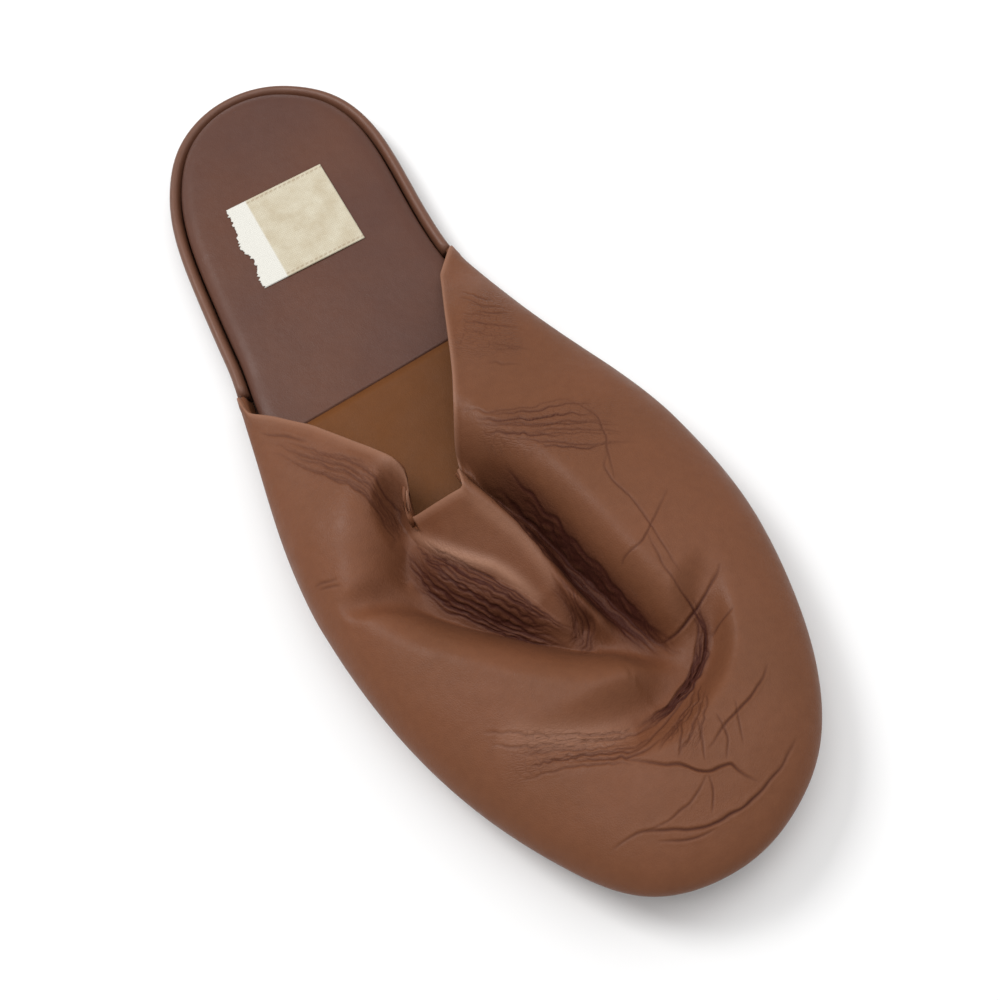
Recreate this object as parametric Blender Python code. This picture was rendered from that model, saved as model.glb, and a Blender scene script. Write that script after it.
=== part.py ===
"""Travel slipper, a right shoe: a soft leather mule on a padded footbed, empty and standing on its sole.

Metres, +Z up. The toe points along -Y and the inner, big toe side lies along +X. The origin is on the
floor under the middle of the heel seat. "along" is a share of the length from the heel's back edge to
the toe's tip, and "across" a share of the ball width from the shoe's long axis, positive inwards.
"""

import math
from collections import namedtuple

import bmesh
import bpy
import numpy as np
from mathutils import Vector

# Driving dimensions of the last
LENGTH = 0.2807
HEEL_WIDTH = 0.072
BALL_WIDTH = 0.110
INSTEP_HEIGHT = 0.020  # the slack vamp's highest line over its lowest possible one
TOE_SPRING = 0.004
ARCH_LIFT = 0.0015

# Thicknesses and clearances
OUTSOLE_THICKNESS = 0.003
INSOLE_THICKNESS = 0.002
HEEL_PAD_THICKNESS = 0.0055
FORE_SOCK_THICKNESS = 0.0026
UPPER_WALL = 0.0018
WALL_LEAN = 1.2  # a leaning wall's width across, over its own thickness
HEM_STEP = 0.0009  # the turned collar edge is this much thicker than the wall
HEM_RUN = 0.0055  # how far the turned edge runs forward from the collar
SEAT_GAP = 0.0003  # between pieces that lie on each other
SIDE_GAP = 0.0005  # between the footbed's edge and what surrounds it
CORNER_GAP = 0.0006  # between the heel rand's ends and the upper's collar corners

# How far the sides stand out beyond the outsole's edge, at the heel and from the waist on
HEEL_OVERHANG = 0.0012
BALL_OVERHANG = 0.005
RAND_HEIGHT = 0.0060  # from the outsole to the top of the rolled rim

# The woven label on the heel seat
LABEL_LENGTH = 0.031
LABEL_WIDTH = 0.032
LABEL_THICKNESS = 0.0006
LABEL_ALONG = 0.200  # its middle
LABEL_ACROSS = -0.014
LABEL_TURN = math.radians(-3.5)

# Stations that several pieces share
HEEL_SEAT = 0.16  # the origin
SOCK_SEAM = 0.411  # where the heel sock meets the forefoot sock
FLAT_HEEL_END = 0.31  # the sole lies flat from the heel to here
FLAT_FORE_START = 0.52
FLAT_FORE_END = 0.80
WAIST_START, WAIST_END = 0.30, 0.62  # the heel's width blends into the ball's between these
SPREAD_START, SPREAD_END = 0.33, 0.53  # and the heel's overhang into the ball's
PAD_THINS_FROM = 0.29

Outline = namedtuple("Outline", "along lateral medial")
# The widest outline, side by side; lateral and medial are shares of the width there
OUTLINE = [
    Outline(0.000, 0.042, 0.042),
    Outline(0.010, -0.129, 0.219),
    Outline(0.030, -0.244, 0.333),
    Outline(0.060, -0.336, 0.432),
    Outline(0.100, -0.413, 0.492),
    Outline(0.160, -0.476, 0.506),
    Outline(0.220, -0.512, 0.484),
    Outline(0.300, -0.551, 0.458),
    Outline(0.360, -0.567, 0.457),
    Outline(0.420, -0.552, 0.446),
    Outline(0.500, -0.525, 0.450),
    Outline(0.580, -0.506, 0.467),
    Outline(0.650, -0.502, 0.487),
    Outline(0.720, -0.488, 0.492),
    Outline(0.800, -0.448, 0.461),
    Outline(0.870, -0.386, 0.405),
    Outline(0.920, -0.324, 0.339),
    Outline(0.960, -0.258, 0.250),
    Outline(0.985, -0.181, 0.147),
    Outline(1.000, -0.014, -0.014),
]

Section = namedtuple("Section", "along bulge lateral_crown medial_crown")
# Heights of the upper over the footbed, as shares of INSTEP_HEIGHT: where its side bulges out
# furthest, and the crown that each half rises to before the folds
SECTIONS = [
    Section(0.300, 0.03, 0.24, 0.24),
    Section(0.356, 0.06, 0.30, 0.36),
    Section(0.400, 0.11, 0.31, 0.60),
    Section(0.438, 0.15, 0.43, 0.71),
    Section(0.467, 0.18, 0.57, 0.73),
    Section(0.500, 0.21, 0.71, 0.75),
    Section(0.534, 0.23, 0.86, 0.82),
    Section(0.588, 0.24, 0.93, 0.93),
    Section(0.640, 0.24, 0.98, 0.98),
    Section(0.713, 0.24, 0.97, 0.97),
    Section(0.784, 0.24, 0.90, 0.90),
    Section(0.841, 0.24, 0.84, 0.84),
    Section(1.000, 0.24, 0.84, 0.84),
]

Hem = namedtuple("Hem", "line along inward")
# The collar's edge on each half, from the corner at the rim to the fold's peak in the middle.
# line names the loop that starts there, 1 on the outline to 0 on the spine, and inward is its
# place between the two, which differs where the slack edge swings sideways
LATERAL_HEM = [
    Hem(1.00, 0.345, 1.00),
    Hem(0.94, 0.377, 0.95),
    Hem(0.86, 0.400, 0.78),
    Hem(0.74, 0.437, 0.56),
    Hem(0.64, 0.466, 0.44),
    Hem(0.54, 0.499, 0.31),
    Hem(0.44, 0.530, 0.215),
    Hem(0.40, 0.540, 0.200),
    Hem(0.30, 0.573, 0.300),
    Hem(0.00, 0.595, 0.00),
]
MEDIAL_HEM = [
    Hem(1.00, 0.316, 1.00),
    Hem(0.75, 0.354, 0.75),
    Hem(0.62, 0.391, 0.62),
    Hem(0.49, 0.429, 0.49),
    Hem(0.31, 0.481, 0.31),
    Hem(0.20, 0.511, 0.20),
    Hem(0.10, 0.536, 0.10),
    Hem(0.05, 0.562, 0.05),
    Hem(0.00, 0.595, 0.00),
]
SWING_RUN = 0.043  # the share of the length over which a loop swings back to its own place

Spine = namedtuple("Spine", "along across")
# The line down the vamp that its loops close in on: the ridge's inner crest, then on to the middle
# of the toe's dome, where it ends
SPINE = [
    Spine(0.595, -0.060),
    Spine(0.620, -0.045),
    Spine(0.645, -0.024),
    Spine(0.670, -0.010),
    Spine(0.715, -0.010),
    Spine(0.770, -0.002),
    Spine(0.841, 0.000),
]

Fold = namedtuple("Fold", "along across height tilt core left right")
# Soft troughs and ridges, each a line of rows that runs towards the toe or across it. height is a
# share of INSTEP_HEIGHT over the lowest line, tilt how much higher the left edge of the flat core
# is than its right edge, and core, left and right are half-widths and reaches as shares of
# BALL_WIDTH, seen by someone who walks along the fold
FOLDS = {
    "lateral trough": [
        Fold(0.573, -0.190, 0.14, 0, 0.010, 0.10, 0.18),
        Fold(0.606, -0.236, 0.13, 0, 0.018, 0.10, 0.20),
        Fold(0.641, -0.273, 0.14, 0, 0.018, 0.11, 0.13),
        Fold(0.684, -0.205, 0.11, 0, 0.014, 0.11, 0.13),
        Fold(0.720, -0.127, 0.09, 0, 0.010, 0.08, 0.13),
        Fold(0.759, -0.027, 0.09, 0, 0.010, 0.06, 0.13),
        Fold(0.787, 0.064, 0.11, 0, 0.010, 0.06, 0.12),
        Fold(0.816, 0.123, 0.20, 0, 0.010, 0.07, 0.09),
    ],
    "lateral crease": [
        Fold(0.641, -0.273, 0.16, 0, 0.005, 0.06, 0.06),
        Fold(0.634, -0.327, 0.33, 0, 0.005, 0.06, 0.06),
        Fold(0.630, -0.386, 0.52, 0, 0.004, 0.05, 0.05),
        Fold(0.628, -0.430, 0.58, 0, 0.002, 0.04, 0.04),
    ],
    "medial trough": [
        Fold(0.530, -0.050, 0.06, 0, 0.012, 0.15, 0.06),
        Fold(0.563, -0.030, 0.05, 0, 0.012, 0.15, 0.06),
        Fold(0.591, 0.000, 0.04, 0, 0.012, 0.15, 0.06),
        Fold(0.627, 0.028, 0.05, 0, 0.012, 0.15, 0.06),
        Fold(0.666, 0.048, 0.07, 0, 0.012, 0.14, 0.06),
        Fold(0.707, 0.065, 0.09, 0, 0.012, 0.14, 0.06),
        Fold(0.745, 0.084, 0.11, 0, 0.012, 0.13, 0.07),
        Fold(0.777, 0.099, 0.13, 0, 0.011, 0.12, 0.08),
        Fold(0.802, 0.114, 0.16, 0, 0.010, 0.11, 0.09),
        Fold(0.823, 0.127, 0.23, 0, 0.009, 0.09, 0.09),
    ],
    "toe crescent": [
        Fold(0.773, 0.318, 0.72, 0, 0.004, 0.05, 0.06),
        Fold(0.791, 0.261, 0.60, 0, 0.007, 0.06, 0.08),
        Fold(0.818, 0.209, 0.42, 0, 0.010, 0.07, 0.10),
        Fold(0.839, 0.142, 0.35, 0, 0.012, 0.08, 0.12),
        Fold(0.853, 0.051, 0.42, 0, 0.012, 0.09, 0.12),
        Fold(0.856, 0.006, 0.50, 0, 0.010, 0.09, 0.11),
        Fold(0.852, -0.090, 0.64, 0, 0.008, 0.08, 0.10),
        Fold(0.838, -0.220, 0.70, 0, 0.005, 0.06, 0.08),
    ],
    "ridge": [
        Fold(0.577, -0.135, 0.60, 0.78, 0.078, 0.062, 0.06),
        Fold(0.588, -0.132, 0.62, 0.76, 0.078, 0.062, 0.06),
        Fold(0.608, -0.118, 0.68, 0.62, 0.075, 0.062, 0.08),
        Fold(0.633, -0.093, 0.70, 0.46, 0.070, 0.062, 0.11),
        Fold(0.657, -0.066, 0.69, 0.34, 0.060, 0.062, 0.12),
        Fold(0.686, -0.041, 0.61, 0.22, 0.040, 0.060, 0.11),
        Fold(0.710, -0.033, 0.50, 0.14, 0.024, 0.058, 0.09),
        Fold(0.733, -0.023, 0.36, 0.04, 0.013, 0.055, 0.07),
        Fold(0.752, -0.006, 0.18, 0.00, 0.006, 0.055, 0.06),
    ],
}

# How finely the pieces are cut into faces
SOLE_STATIONS = 30
UPPER_STATIONS = 44
HEM_STATIONS = 2
LOOPS = [1.0, 0.985, 0.95, 0.895, 0.82, 0.74, 0.66, 0.585, 0.515, 0.45, 0.39, 0.335, 0.285, 0.24,
         0.20, 0.165, 0.132, 0.102, 0.075, 0.051, 0.030, 0.013]
TUCKS = [1.0, 0.45]  # loops under the bulge, as shares of the overhang
FOLD_STEPS = 8
DOME_FULLNESS = 2.3
EDGE_FADE = 0.12  # the folds fade out towards the bulge over this share of the half-width
STEP_END = 1.2  # the turned edge is down to the plain wall at this share of HEM_RUN
GRID_STEP = 0.001  # for the outline's slope, in radians
SHARP_ANGLE = math.radians(50)


def smooth(t):
    t = min(1.0, max(0.0, t))
    return t * t * (3 - 2 * t)


def mix(a, b, t):
    return a + (b - a) * t


def spline(places, values):
    """A natural cubic through the given values, as a function."""
    x = np.array(places, float)
    y = np.array(values, float)
    step = np.diff(x)
    rise = np.diff(y) / step
    matrix = np.eye(len(x))
    right = np.zeros(len(x))
    for i in range(1, len(x) - 1):
        matrix[i, i - 1 : i + 2] = step[i - 1], 2 * (step[i - 1] + step[i]), step[i]
        right[i] = 6 * (rise[i] - rise[i - 1])
    bend = np.linalg.solve(matrix, right)

    def value(at):
        i = min(len(step) - 1, max(0, int(np.searchsorted(x, at)) - 1))
        a = x[i + 1] - at
        b = at - x[i]
        h = step[i]
        line = (y[i] / h - bend[i] * h / 6) * a + (y[i + 1] / h - bend[i + 1] * h / 6) * b
        return float(line + (bend[i] * a**3 + bend[i + 1] * b**3) / (6 * h))

    return value


def straight(places, values):
    """Straight lines between the given values, held beyond the ends, as a function."""

    def value(at):
        return float(np.interp(at, places, values))

    return value


def turn_of(along):
    """Stations are spaced by an angle, 0 at the heel to pi at the toe, so that both ends come round."""
    return math.acos(max(-1.0, min(1.0, 1 - 2 * along)))


def along_of(turn):
    return (1 - math.cos(turn)) / 2


SIDE_LATERAL, SIDE_MEDIAL = -1, 1
TURNS = [turn_of(row.along) for row in OUTLINE]
OUTLINE_SHARE = {
    SIDE_LATERAL: spline(TURNS, [row.lateral for row in OUTLINE]),
    SIDE_MEDIAL: spline(TURNS, [row.medial for row in OUTLINE]),
}


def width_at(along):
    return mix(HEEL_WIDTH, BALL_WIDTH, smooth((along - WAIST_START) / (WAIST_END - WAIST_START)))


def outline(side, turn):
    """(x, distance from the heel) on the widest outline."""
    along = along_of(turn)
    return OUTLINE_SHARE[side](turn) * width_at(along), along * LENGTH


def inset_point(side, turn, inset):
    """The outline's point moved inwards, square to the outline."""
    before = max(0.0, turn - GRID_STEP)
    after = min(math.pi, turn + GRID_STEP)
    x0, s0 = outline(side, before)
    x1, s1 = outline(side, after)
    if turn <= 0 or turn >= math.pi:
        s0 = s1 = 0.0
    run = math.hypot(x1 - x0, s1 - s0)
    x, s = outline(side, turn)
    return x - side * (s1 - s0) / run * inset, s + side * (x1 - x0) / run * inset


def turn_at_cut(side, inset, distance):
    """The station where the inset outline crosses the straight line at this distance from the heel."""
    turn = turn_of(distance / LENGTH)
    for _ in range(6):
        reached = inset_point(side, turn, inset)[1]
        turn = turn_of(along_of(turn) + (distance - reached) / LENGTH)
    return turn


def place(x, s, z):
    return Vector((x, HEEL_SEAT * LENGTH - s, z))


def lift(s):
    """The sole's height over the floor: a low arch between two flats, and the toe's spring."""
    along = s / LENGTH
    if FLAT_HEEL_END < along < FLAT_FORE_START:
        share = (along - FLAT_HEEL_END) / (FLAT_FORE_START - FLAT_HEEL_END)
        return ARCH_LIFT * math.sin(math.pi * share) ** 2
    if along > FLAT_FORE_END:
        return TOE_SPRING * ((along - FLAT_FORE_END) / (1 - FLAT_FORE_END)) ** 2
    return 0.0


def overhang(along):
    """How far in the outsole's edge lies from the widest outline."""
    return mix(HEEL_OVERHANG, BALL_OVERHANG, smooth((along - SPREAD_START) / (SPREAD_END - SPREAD_START)))


def bed_inset(along):
    """The edge of the footbed, clear of the upper's leaning wall and of the rand."""
    return overhang(along) + WALL_LEAN * UPPER_WALL + SIDE_GAP


INSOLE_BOTTOM = OUTSOLE_THICKNESS + SEAT_GAP
SOCK_BOTTOM = INSOLE_BOTTOM + INSOLE_THICKNESS + SEAT_GAP
BED_TOP = SOCK_BOTTOM + FORE_SOCK_THICKNESS
PAD_TOP = SOCK_BOTTOM + HEEL_PAD_THICKNESS
LOWEST_UPPER = BED_TOP + SEAT_GAP + UPPER_WALL  # the upper's outer face where it rests on the sock


def pad_top(s):
    """The padded heel seat, thinned to the forefoot sock's height at the seam."""
    return mix(PAD_TOP, BED_TOP, smooth((s / LENGTH - PAD_THINS_FROM) / (SOCK_SEAM - PAD_THINS_FROM)))


def new_object(name, bm, colour, roughness):
    bmesh.ops.recalc_face_normals(bm, faces=bm.faces)
    mesh = bpy.data.meshes.new(name)
    bm.to_mesh(mesh)
    bm.free()
    mesh.shade_smooth()
    mesh.set_sharp_from_angle(angle=SHARP_ANGLE)
    material = bpy.data.materials.new(name)
    material.use_nodes = True
    shader = material.node_tree.nodes["Principled BSDF"]
    shader.inputs["Base Color"].default_value = (*colour, 1.0)
    shader.inputs["Roughness"].default_value = roughness
    mesh.materials.append(material)
    made = bpy.data.objects.new(name, mesh)
    bpy.context.scene.collection.objects.link(made)
    return made


def mapped_grid(columns, rows, point):
    """A sheet of columns x rows quads, each vertex moved to point(column, row)."""
    bm = bmesh.new()
    bmesh.ops.create_grid(bm, x_segments=columns, y_segments=rows, size=1)
    for vert in bm.verts:
        column = round((vert.co.x + 1) / 2 * columns)
        row = round((vert.co.y + 1) / 2 * rows)
        vert.co = point(column, row)
    return bm


def close_seams(bm):
    """Points that were mapped to one place become one, and open ends are filled."""
    bmesh.ops.remove_doubles(bm, verts=bm.verts, dist=1e-6)
    open_edges = [edge for edge in bm.edges if edge.is_boundary]
    if open_edges:
        bmesh.ops.holes_fill(bm, edges=open_edges, sides=0)
    bmesh.ops.triangulate(bm, faces=[face for face in bm.faces if len(face.verts) > 4])


Edge = namedtuple("Edge", "inset height")
CROSSING = 4  # quads across the top and the bottom, between the last edge rows


def slab(name, colour, roughness, inset, thickness, profile, base, top, start=None, end=None):
    """A plate that follows the outline. profile lists its edge rows from the floor side to the top:
    inset is a share of the thickness, added to the plate's own inset, and height is a share from its
    base to its top. start and end are distances from the heel where a straight cut ends the plate in
    place of the round outline."""
    rows = len(profile)
    loop = 2 * (rows + CROSSING) - 2

    def edge_point(side, row, share):
        own = profile[row].inset * thickness
        turn = math.pi * share
        if start is not None:
            turn = max(turn, turn_at_cut(side, inset(start / LENGTH) + own, start))
        if end is not None:
            turn = min(turn, turn_at_cut(side, inset(end / LENGTH) + own, end))
        x, s = inset_point(side, turn, inset(along_of(turn)) + own)
        return x, s, mix(base(s), top(s), profile[row].height)

    def point(column, row):
        share = column / SOLE_STATIONS
        row %= loop
        if row < rows:
            return place(*edge_point(SIDE_LATERAL, row, share))
        if row < rows + CROSSING - 1:
            low, across = rows - 1, (row - rows + 1) / CROSSING
        elif row < 2 * rows + CROSSING - 1:
            return place(*edge_point(SIDE_MEDIAL, 2 * rows + CROSSING - 2 - row, share))
        else:
            low, across = 0, 1 - (row - 2 * rows - CROSSING + 2) / CROSSING
        a = edge_point(SIDE_LATERAL, low, share)
        b = edge_point(SIDE_MEDIAL, low, share)
        return place(*(mix(p, q, across) for p, q in zip(a, b)))

    bm = mapped_grid(SOLE_STATIONS, loop, point)
    close_seams(bm)
    return new_object(name, bm, colour, roughness)


def make_outsole():
    rounded = [Edge(0.4, 0.0), Edge(0.1, 0.12), Edge(0.0, 0.35), Edge(0.0, 0.85), Edge(0.2, 1.0)]
    return slab("outsole", (0.10, 0.05, 0.035), 0.75, overhang, OUTSOLE_THICKNESS, rounded, lift,
                lambda s: lift(s) + OUTSOLE_THICKNESS)


def make_insole():
    square = [Edge(0.0, 0.0), Edge(0.0, 1.0)]
    return slab("insole", (0.30, 0.19, 0.11), 0.8, bed_inset, INSOLE_THICKNESS, square,
                lambda s: lift(s) + INSOLE_BOTTOM,
                lambda s: lift(s) + INSOLE_BOTTOM + INSOLE_THICKNESS)


def make_heel_sock():
    pillow = [Edge(0.15, 0.0), Edge(0.0, 0.15), Edge(0.0, 0.45), Edge(0.13, 0.70), Edge(0.40, 0.90),
              Edge(0.87, 1.0)]
    return slab("heel_sock", (0.135, 0.068, 0.048), 0.5, bed_inset, HEEL_PAD_THICKNESS, pillow,
                lambda s: lift(s) + SOCK_BOTTOM,
                lambda s: lift(s) + pad_top(s),
                end=SOCK_SEAM * LENGTH - SEAT_GAP / 2)


def make_forefoot_sock():
    soft = [Edge(0.2, 0.0), Edge(0.0, 0.3), Edge(0.15, 0.8), Edge(0.77, 1.0)]
    return slab("forefoot_sock", (0.205, 0.090, 0.030), 0.6, bed_inset, FORE_SOCK_THICKNESS, soft,
                lambda s: lift(s) + SOCK_BOTTOM,
                lambda s: lift(s) + BED_TOP,
                start=SOCK_SEAM * LENGTH + SEAT_GAP / 2)


Roll = namedtuple("Roll", "inwards upwards")
# The heel rand's section, from the outsole up the outside, over the rolled rim and down the inside:
# shares of the way in to the footbed's edge, and of RAND_HEIGHT
RAND_SECTION = [
    Roll(0.42, 0.00),
    Roll(0.12, 0.35),
    Roll(0.00, 0.62),
    Roll(0.06, 0.84),
    Roll(0.26, 0.97),
    Roll(0.52, 1.00),
    Roll(0.80, 0.90),
    Roll(1.00, 0.66),
    Roll(1.00, 0.00),
]


def make_heel_rand():
    """The strip that wraps the footbed's side, swept from one collar corner round the heel to the other."""
    stations = 2 * SOLE_STATIONS
    corner = {SIDE_LATERAL: LATERAL_HEM[0].along - CORNER_GAP / LENGTH,
              SIDE_MEDIAL: MEDIAL_HEM[0].along - CORNER_GAP / LENGTH}

    def point(column, row):
        share = 2 * column / stations - 1
        side = SIDE_MEDIAL if share > 0 else SIDE_LATERAL
        turn = min(math.pi * abs(share), turn_of(corner[side]))
        inwards, upwards = RAND_SECTION[row % len(RAND_SECTION)]
        along = along_of(turn)
        inner = bed_inset(along) - SIDE_GAP
        x, s = inset_point(side, turn, inwards * inner)
        return place(x, s, lift(s) + OUTSOLE_THICKNESS + SEAT_GAP + upwards * RAND_HEIGHT)

    bm = mapped_grid(stations, len(RAND_SECTION), point)
    close_seams(bm)
    return new_object("heel_rand", bm, (0.165, 0.075, 0.045), 0.5)


def fold_path(rows):
    """Points along a fold on smooth curves through its rows, as (x, distance from the heel, row values)."""
    at = list(range(len(rows)))
    curves = [spline(at, [row[k] for row in rows]) for k in range(2)]
    others = [straight(at, [row[k] for row in rows]) for k in range(2, 7)]
    path = []
    for step in range((len(rows) - 1) * FOLD_STEPS + 1):
        t = step / FOLD_STEPS
        along, across = (curve(t) for curve in curves)
        path.append((across * BALL_WIDTH, along * LENGTH, [other(t) for other in others]))
    return path


FOLD_PATHS = [fold_path(rows) for rows in FOLDS.values()]


def apply_fold(path, x, s, z):
    """Draws the height z towards the fold's own where the point lies within its reach."""
    best = None
    for (x0, s0, row0), (x1, s1, row1) in zip(path, path[1:]):
        dx, ds = x1 - x0, s1 - s0
        run = math.hypot(dx, ds)
        t = min(1.0, max(0.0, ((x - x0) * dx + (s - s0) * ds) / run**2))
        offset_x, offset_s = x - x0 - t * dx, s - s0 - t * ds
        distance = math.hypot(offset_x, offset_s)
        if best is None or distance < best[0]:
            side = (offset_x * ds - offset_s * dx) / run
            best = distance, side, [mix(a, b, t) for a, b in zip(row0, row1)]
    distance, side, (height, tilt, core, left, right) = best
    core *= BALL_WIDTH
    reach = (left if side > 0 else right) * BALL_WIDTH
    weight = smooth(1 - (distance - core) / reach)
    level = height + tilt / 2 * max(-1.0, min(1.0, side / core))
    target = lift(s) + LOWEST_UPPER + level * INSTEP_HEIGHT
    return mix(z, target, weight)


BULGE = spline([row.along for row in SECTIONS], [row.bulge for row in SECTIONS])
CROWN = {
    SIDE_LATERAL: spline([row.along for row in SECTIONS], [row.lateral_crown for row in SECTIONS]),
    SIDE_MEDIAL: spline([row.along for row in SECTIONS], [row.medial_crown for row in SECTIONS]),
}


def hem_curves(rows):
    """The collar's place and swing for each loop, as functions of the loop's line value."""
    rows = sorted(rows, key=lambda row: row.line)
    lines = [row.line for row in rows]
    return (
        straight(lines, [row.along for row in rows]),
        straight(lines, [row.inward - row.line for row in rows]),
    )


HEM = {SIDE_LATERAL: hem_curves(LATERAL_HEM), SIDE_MEDIAL: hem_curves(MEDIAL_HEM)}


def loop_station(side, line, station):
    """The turn at a station of a loop, and its distance from the collar as a share of the length."""
    hem_along = HEM[side][0](line)
    if station < HEM_STATIONS:
        along = hem_along + station * HEM_RUN / LENGTH
        return turn_of(along), along - hem_along
    first = turn_of(hem_along + STEP_END * HEM_RUN / LENGTH)
    share = (station - HEM_STATIONS) / (UPPER_STATIONS - HEM_STATIONS)
    turn = mix(first, math.pi, share)
    return turn, along_of(turn) - hem_along


def upper_point(side, line, station):
    """A point of the upper's outer face over the bulge: 1 is the bulge's own line, 0 the spine."""
    turn, run = loop_station(side, line, station)
    swing = HEM[side][1](line) * math.exp(-run / SWING_RUN)
    inward = line + swing
    x_out, s_out = outline(side, turn)
    s_spine = min(s_out, SPINE[-1].along * LENGTH)
    x_spine = spine_x(s_spine)
    x = mix(x_spine, x_out, inward)
    s = mix(s_spine, s_out, inward)
    bulge = lift(s_out) + BED_TOP + BULGE(s_out / LENGTH) * INSTEP_HEIGHT
    crown = lift(s_spine) + LOWEST_UPPER + CROWN[side](s_spine / LENGTH) * INSTEP_HEIGHT
    z = mix(bulge, crown, math.sqrt(max(0.0, 1 - inward**DOME_FULLNESS)))
    for path in FOLD_PATHS:
        folded = apply_fold(path, x, s, z)
        z = mix(z, folded, smooth((1 - inward) / EDGE_FADE))
    return place(x, s, z)


SPINE_SHARE = straight([row.along for row in SPINE], [row.across for row in SPINE])


def spine_x(s):
    return SPINE_SHARE(s / LENGTH) * BALL_WIDTH


def tuck_point(side, tuck, station):
    """A point under the bulge, where the upper draws in to the outsole's edge."""
    turn, _ = loop_station(side, 1.0, station)
    along = along_of(turn)
    x, s = inset_point(side, turn, tuck * overhang(along))
    bulge = lift(s) + BED_TOP + BULGE(along) * INSTEP_HEIGHT
    bottom = lift(s) + OUTSOLE_THICKNESS + SEAT_GAP
    return place(x, s, mix(bulge, bottom, math.sqrt(tuck)))


def make_upper():
    """The vamp: its outer face over all loops, given a wall on the inside that is thicker at the hem."""
    rows = len(TUCKS) + len(LOOPS)

    def point(column, row):
        side = SIDE_MEDIAL if row > rows else SIDE_LATERAL
        place_in = rows - abs(row - rows)
        if place_in < len(TUCKS):
            return tuck_point(side, TUCKS[place_in], column)
        if place_in == rows:
            return upper_point(side, 0.0, column)
        return upper_point(side, LOOPS[place_in - len(TUCKS)], column)

    bm = mapped_grid(UPPER_STATIONS, 2 * rows, point)
    station = bm.verts.layers.int.new("station")
    bm.verts.index_update()
    for vert in bm.verts:
        vert[station] = vert.index % (UPPER_STATIONS + 1)
    bmesh.ops.remove_doubles(bm, verts=bm.verts, dist=1e-6)
    bmesh.ops.recalc_face_normals(bm, faces=bm.faces)
    if sum(face.normal.z for face in bm.faces) < 0:
        bmesh.ops.reverse_faces(bm, faces=bm.faces)
    bm.normal_update()
    bmesh.ops.triangulate(bm, faces=bm.faces, quad_method="SHORT_EDGE")
    faces = list(bm.faces)
    edges = [edge for edge in bm.edges if edge.is_boundary]
    outward = {vert: vert.normal.copy() for vert in bm.verts}
    inner = {}
    for vert in list(bm.verts):
        step = HEM_STEP if vert[station] < HEM_STATIONS else 0.0
        inner[vert] = bm.verts.new(vert.co - outward[vert] * (UPPER_WALL + step / 2))
        vert.co += outward[vert] * step / 2
    for face in faces:
        bm.faces.new([inner[vert] for vert in reversed(face.verts)])
    for edge in edges:
        a, b = edge.verts
        bm.faces.new([a, b, inner[b], inner[a]])
    return new_object("upper", bm, (0.21, 0.088, 0.05), 0.45)


def make_label():
    """The woven label, flat on the heel seat."""
    bm = bmesh.new()
    bmesh.ops.create_cube(bm, size=1.0)
    bmesh.ops.scale(bm, vec=(LABEL_WIDTH, LABEL_LENGTH, LABEL_THICKNESS), verts=bm.verts)
    made = new_object("label", bm, (0.80, 0.76, 0.62), 0.8)
    made.rotation_euler.z = LABEL_TURN
    made.location = place(LABEL_ACROSS * BALL_WIDTH, LABEL_ALONG * LENGTH,
                          PAD_TOP + SEAT_GAP + LABEL_THICKNESS / 2)
    return made


def main():
    for old in list(bpy.data.objects):
        bpy.data.objects.remove(old, do_unlink=True)
    make_outsole()
    make_insole()
    make_heel_sock()
    make_forefoot_sock()
    make_heel_rand()
    make_upper()
    make_label()


main()
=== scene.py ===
# %% [markdown]
# A travel slipper is a soft leather mule. Its vamp has no stiffening, so once it has been packed flat it
# keeps deep folds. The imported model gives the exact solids: outsole, insole, heel sock, forefoot sock,
# heel rand, upper and label. This file dresses them. The leather gets its creases and grain, the collar
# its turned edge, the footbed its padding and the label its weave.

# %% The frame
import math
from collections import namedtuple

import bmesh
import bpy
import numpy as np
from mathutils import Matrix, Vector


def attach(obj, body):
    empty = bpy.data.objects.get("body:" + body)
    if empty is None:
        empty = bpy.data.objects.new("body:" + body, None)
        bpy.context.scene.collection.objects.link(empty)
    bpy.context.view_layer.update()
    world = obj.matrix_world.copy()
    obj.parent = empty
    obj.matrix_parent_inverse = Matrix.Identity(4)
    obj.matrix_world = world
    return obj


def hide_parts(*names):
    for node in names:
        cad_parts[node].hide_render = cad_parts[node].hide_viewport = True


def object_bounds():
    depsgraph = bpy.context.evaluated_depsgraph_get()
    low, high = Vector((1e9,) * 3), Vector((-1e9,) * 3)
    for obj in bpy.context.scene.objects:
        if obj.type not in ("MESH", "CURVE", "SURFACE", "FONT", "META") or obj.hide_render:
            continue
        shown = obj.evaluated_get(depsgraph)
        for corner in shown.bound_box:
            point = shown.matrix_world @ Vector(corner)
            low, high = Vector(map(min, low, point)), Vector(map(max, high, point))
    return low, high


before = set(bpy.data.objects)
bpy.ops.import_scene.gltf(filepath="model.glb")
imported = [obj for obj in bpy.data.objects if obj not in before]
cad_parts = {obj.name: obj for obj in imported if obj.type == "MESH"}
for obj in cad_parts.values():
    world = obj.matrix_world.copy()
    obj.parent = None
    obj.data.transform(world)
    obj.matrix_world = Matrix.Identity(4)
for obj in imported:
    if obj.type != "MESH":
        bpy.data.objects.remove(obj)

cad_low, cad_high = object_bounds()
MM = 0.001
print("the solids' box in mm:", [round((b - a) / MM, 1) for a, b in zip(cad_low, cad_high)])


def add_object(name, data):
    """A new object in the scene."""
    added = bpy.data.objects.new(name, data)
    bpy.context.scene.collection.objects.link(added)
    return added


def new_material(name):
    """A material with nodes, its tree and its shader."""
    material = bpy.data.materials.new(name)
    material.use_nodes = True
    return material, material.node_tree, material.node_tree.nodes["Principled BSDF"]


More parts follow.
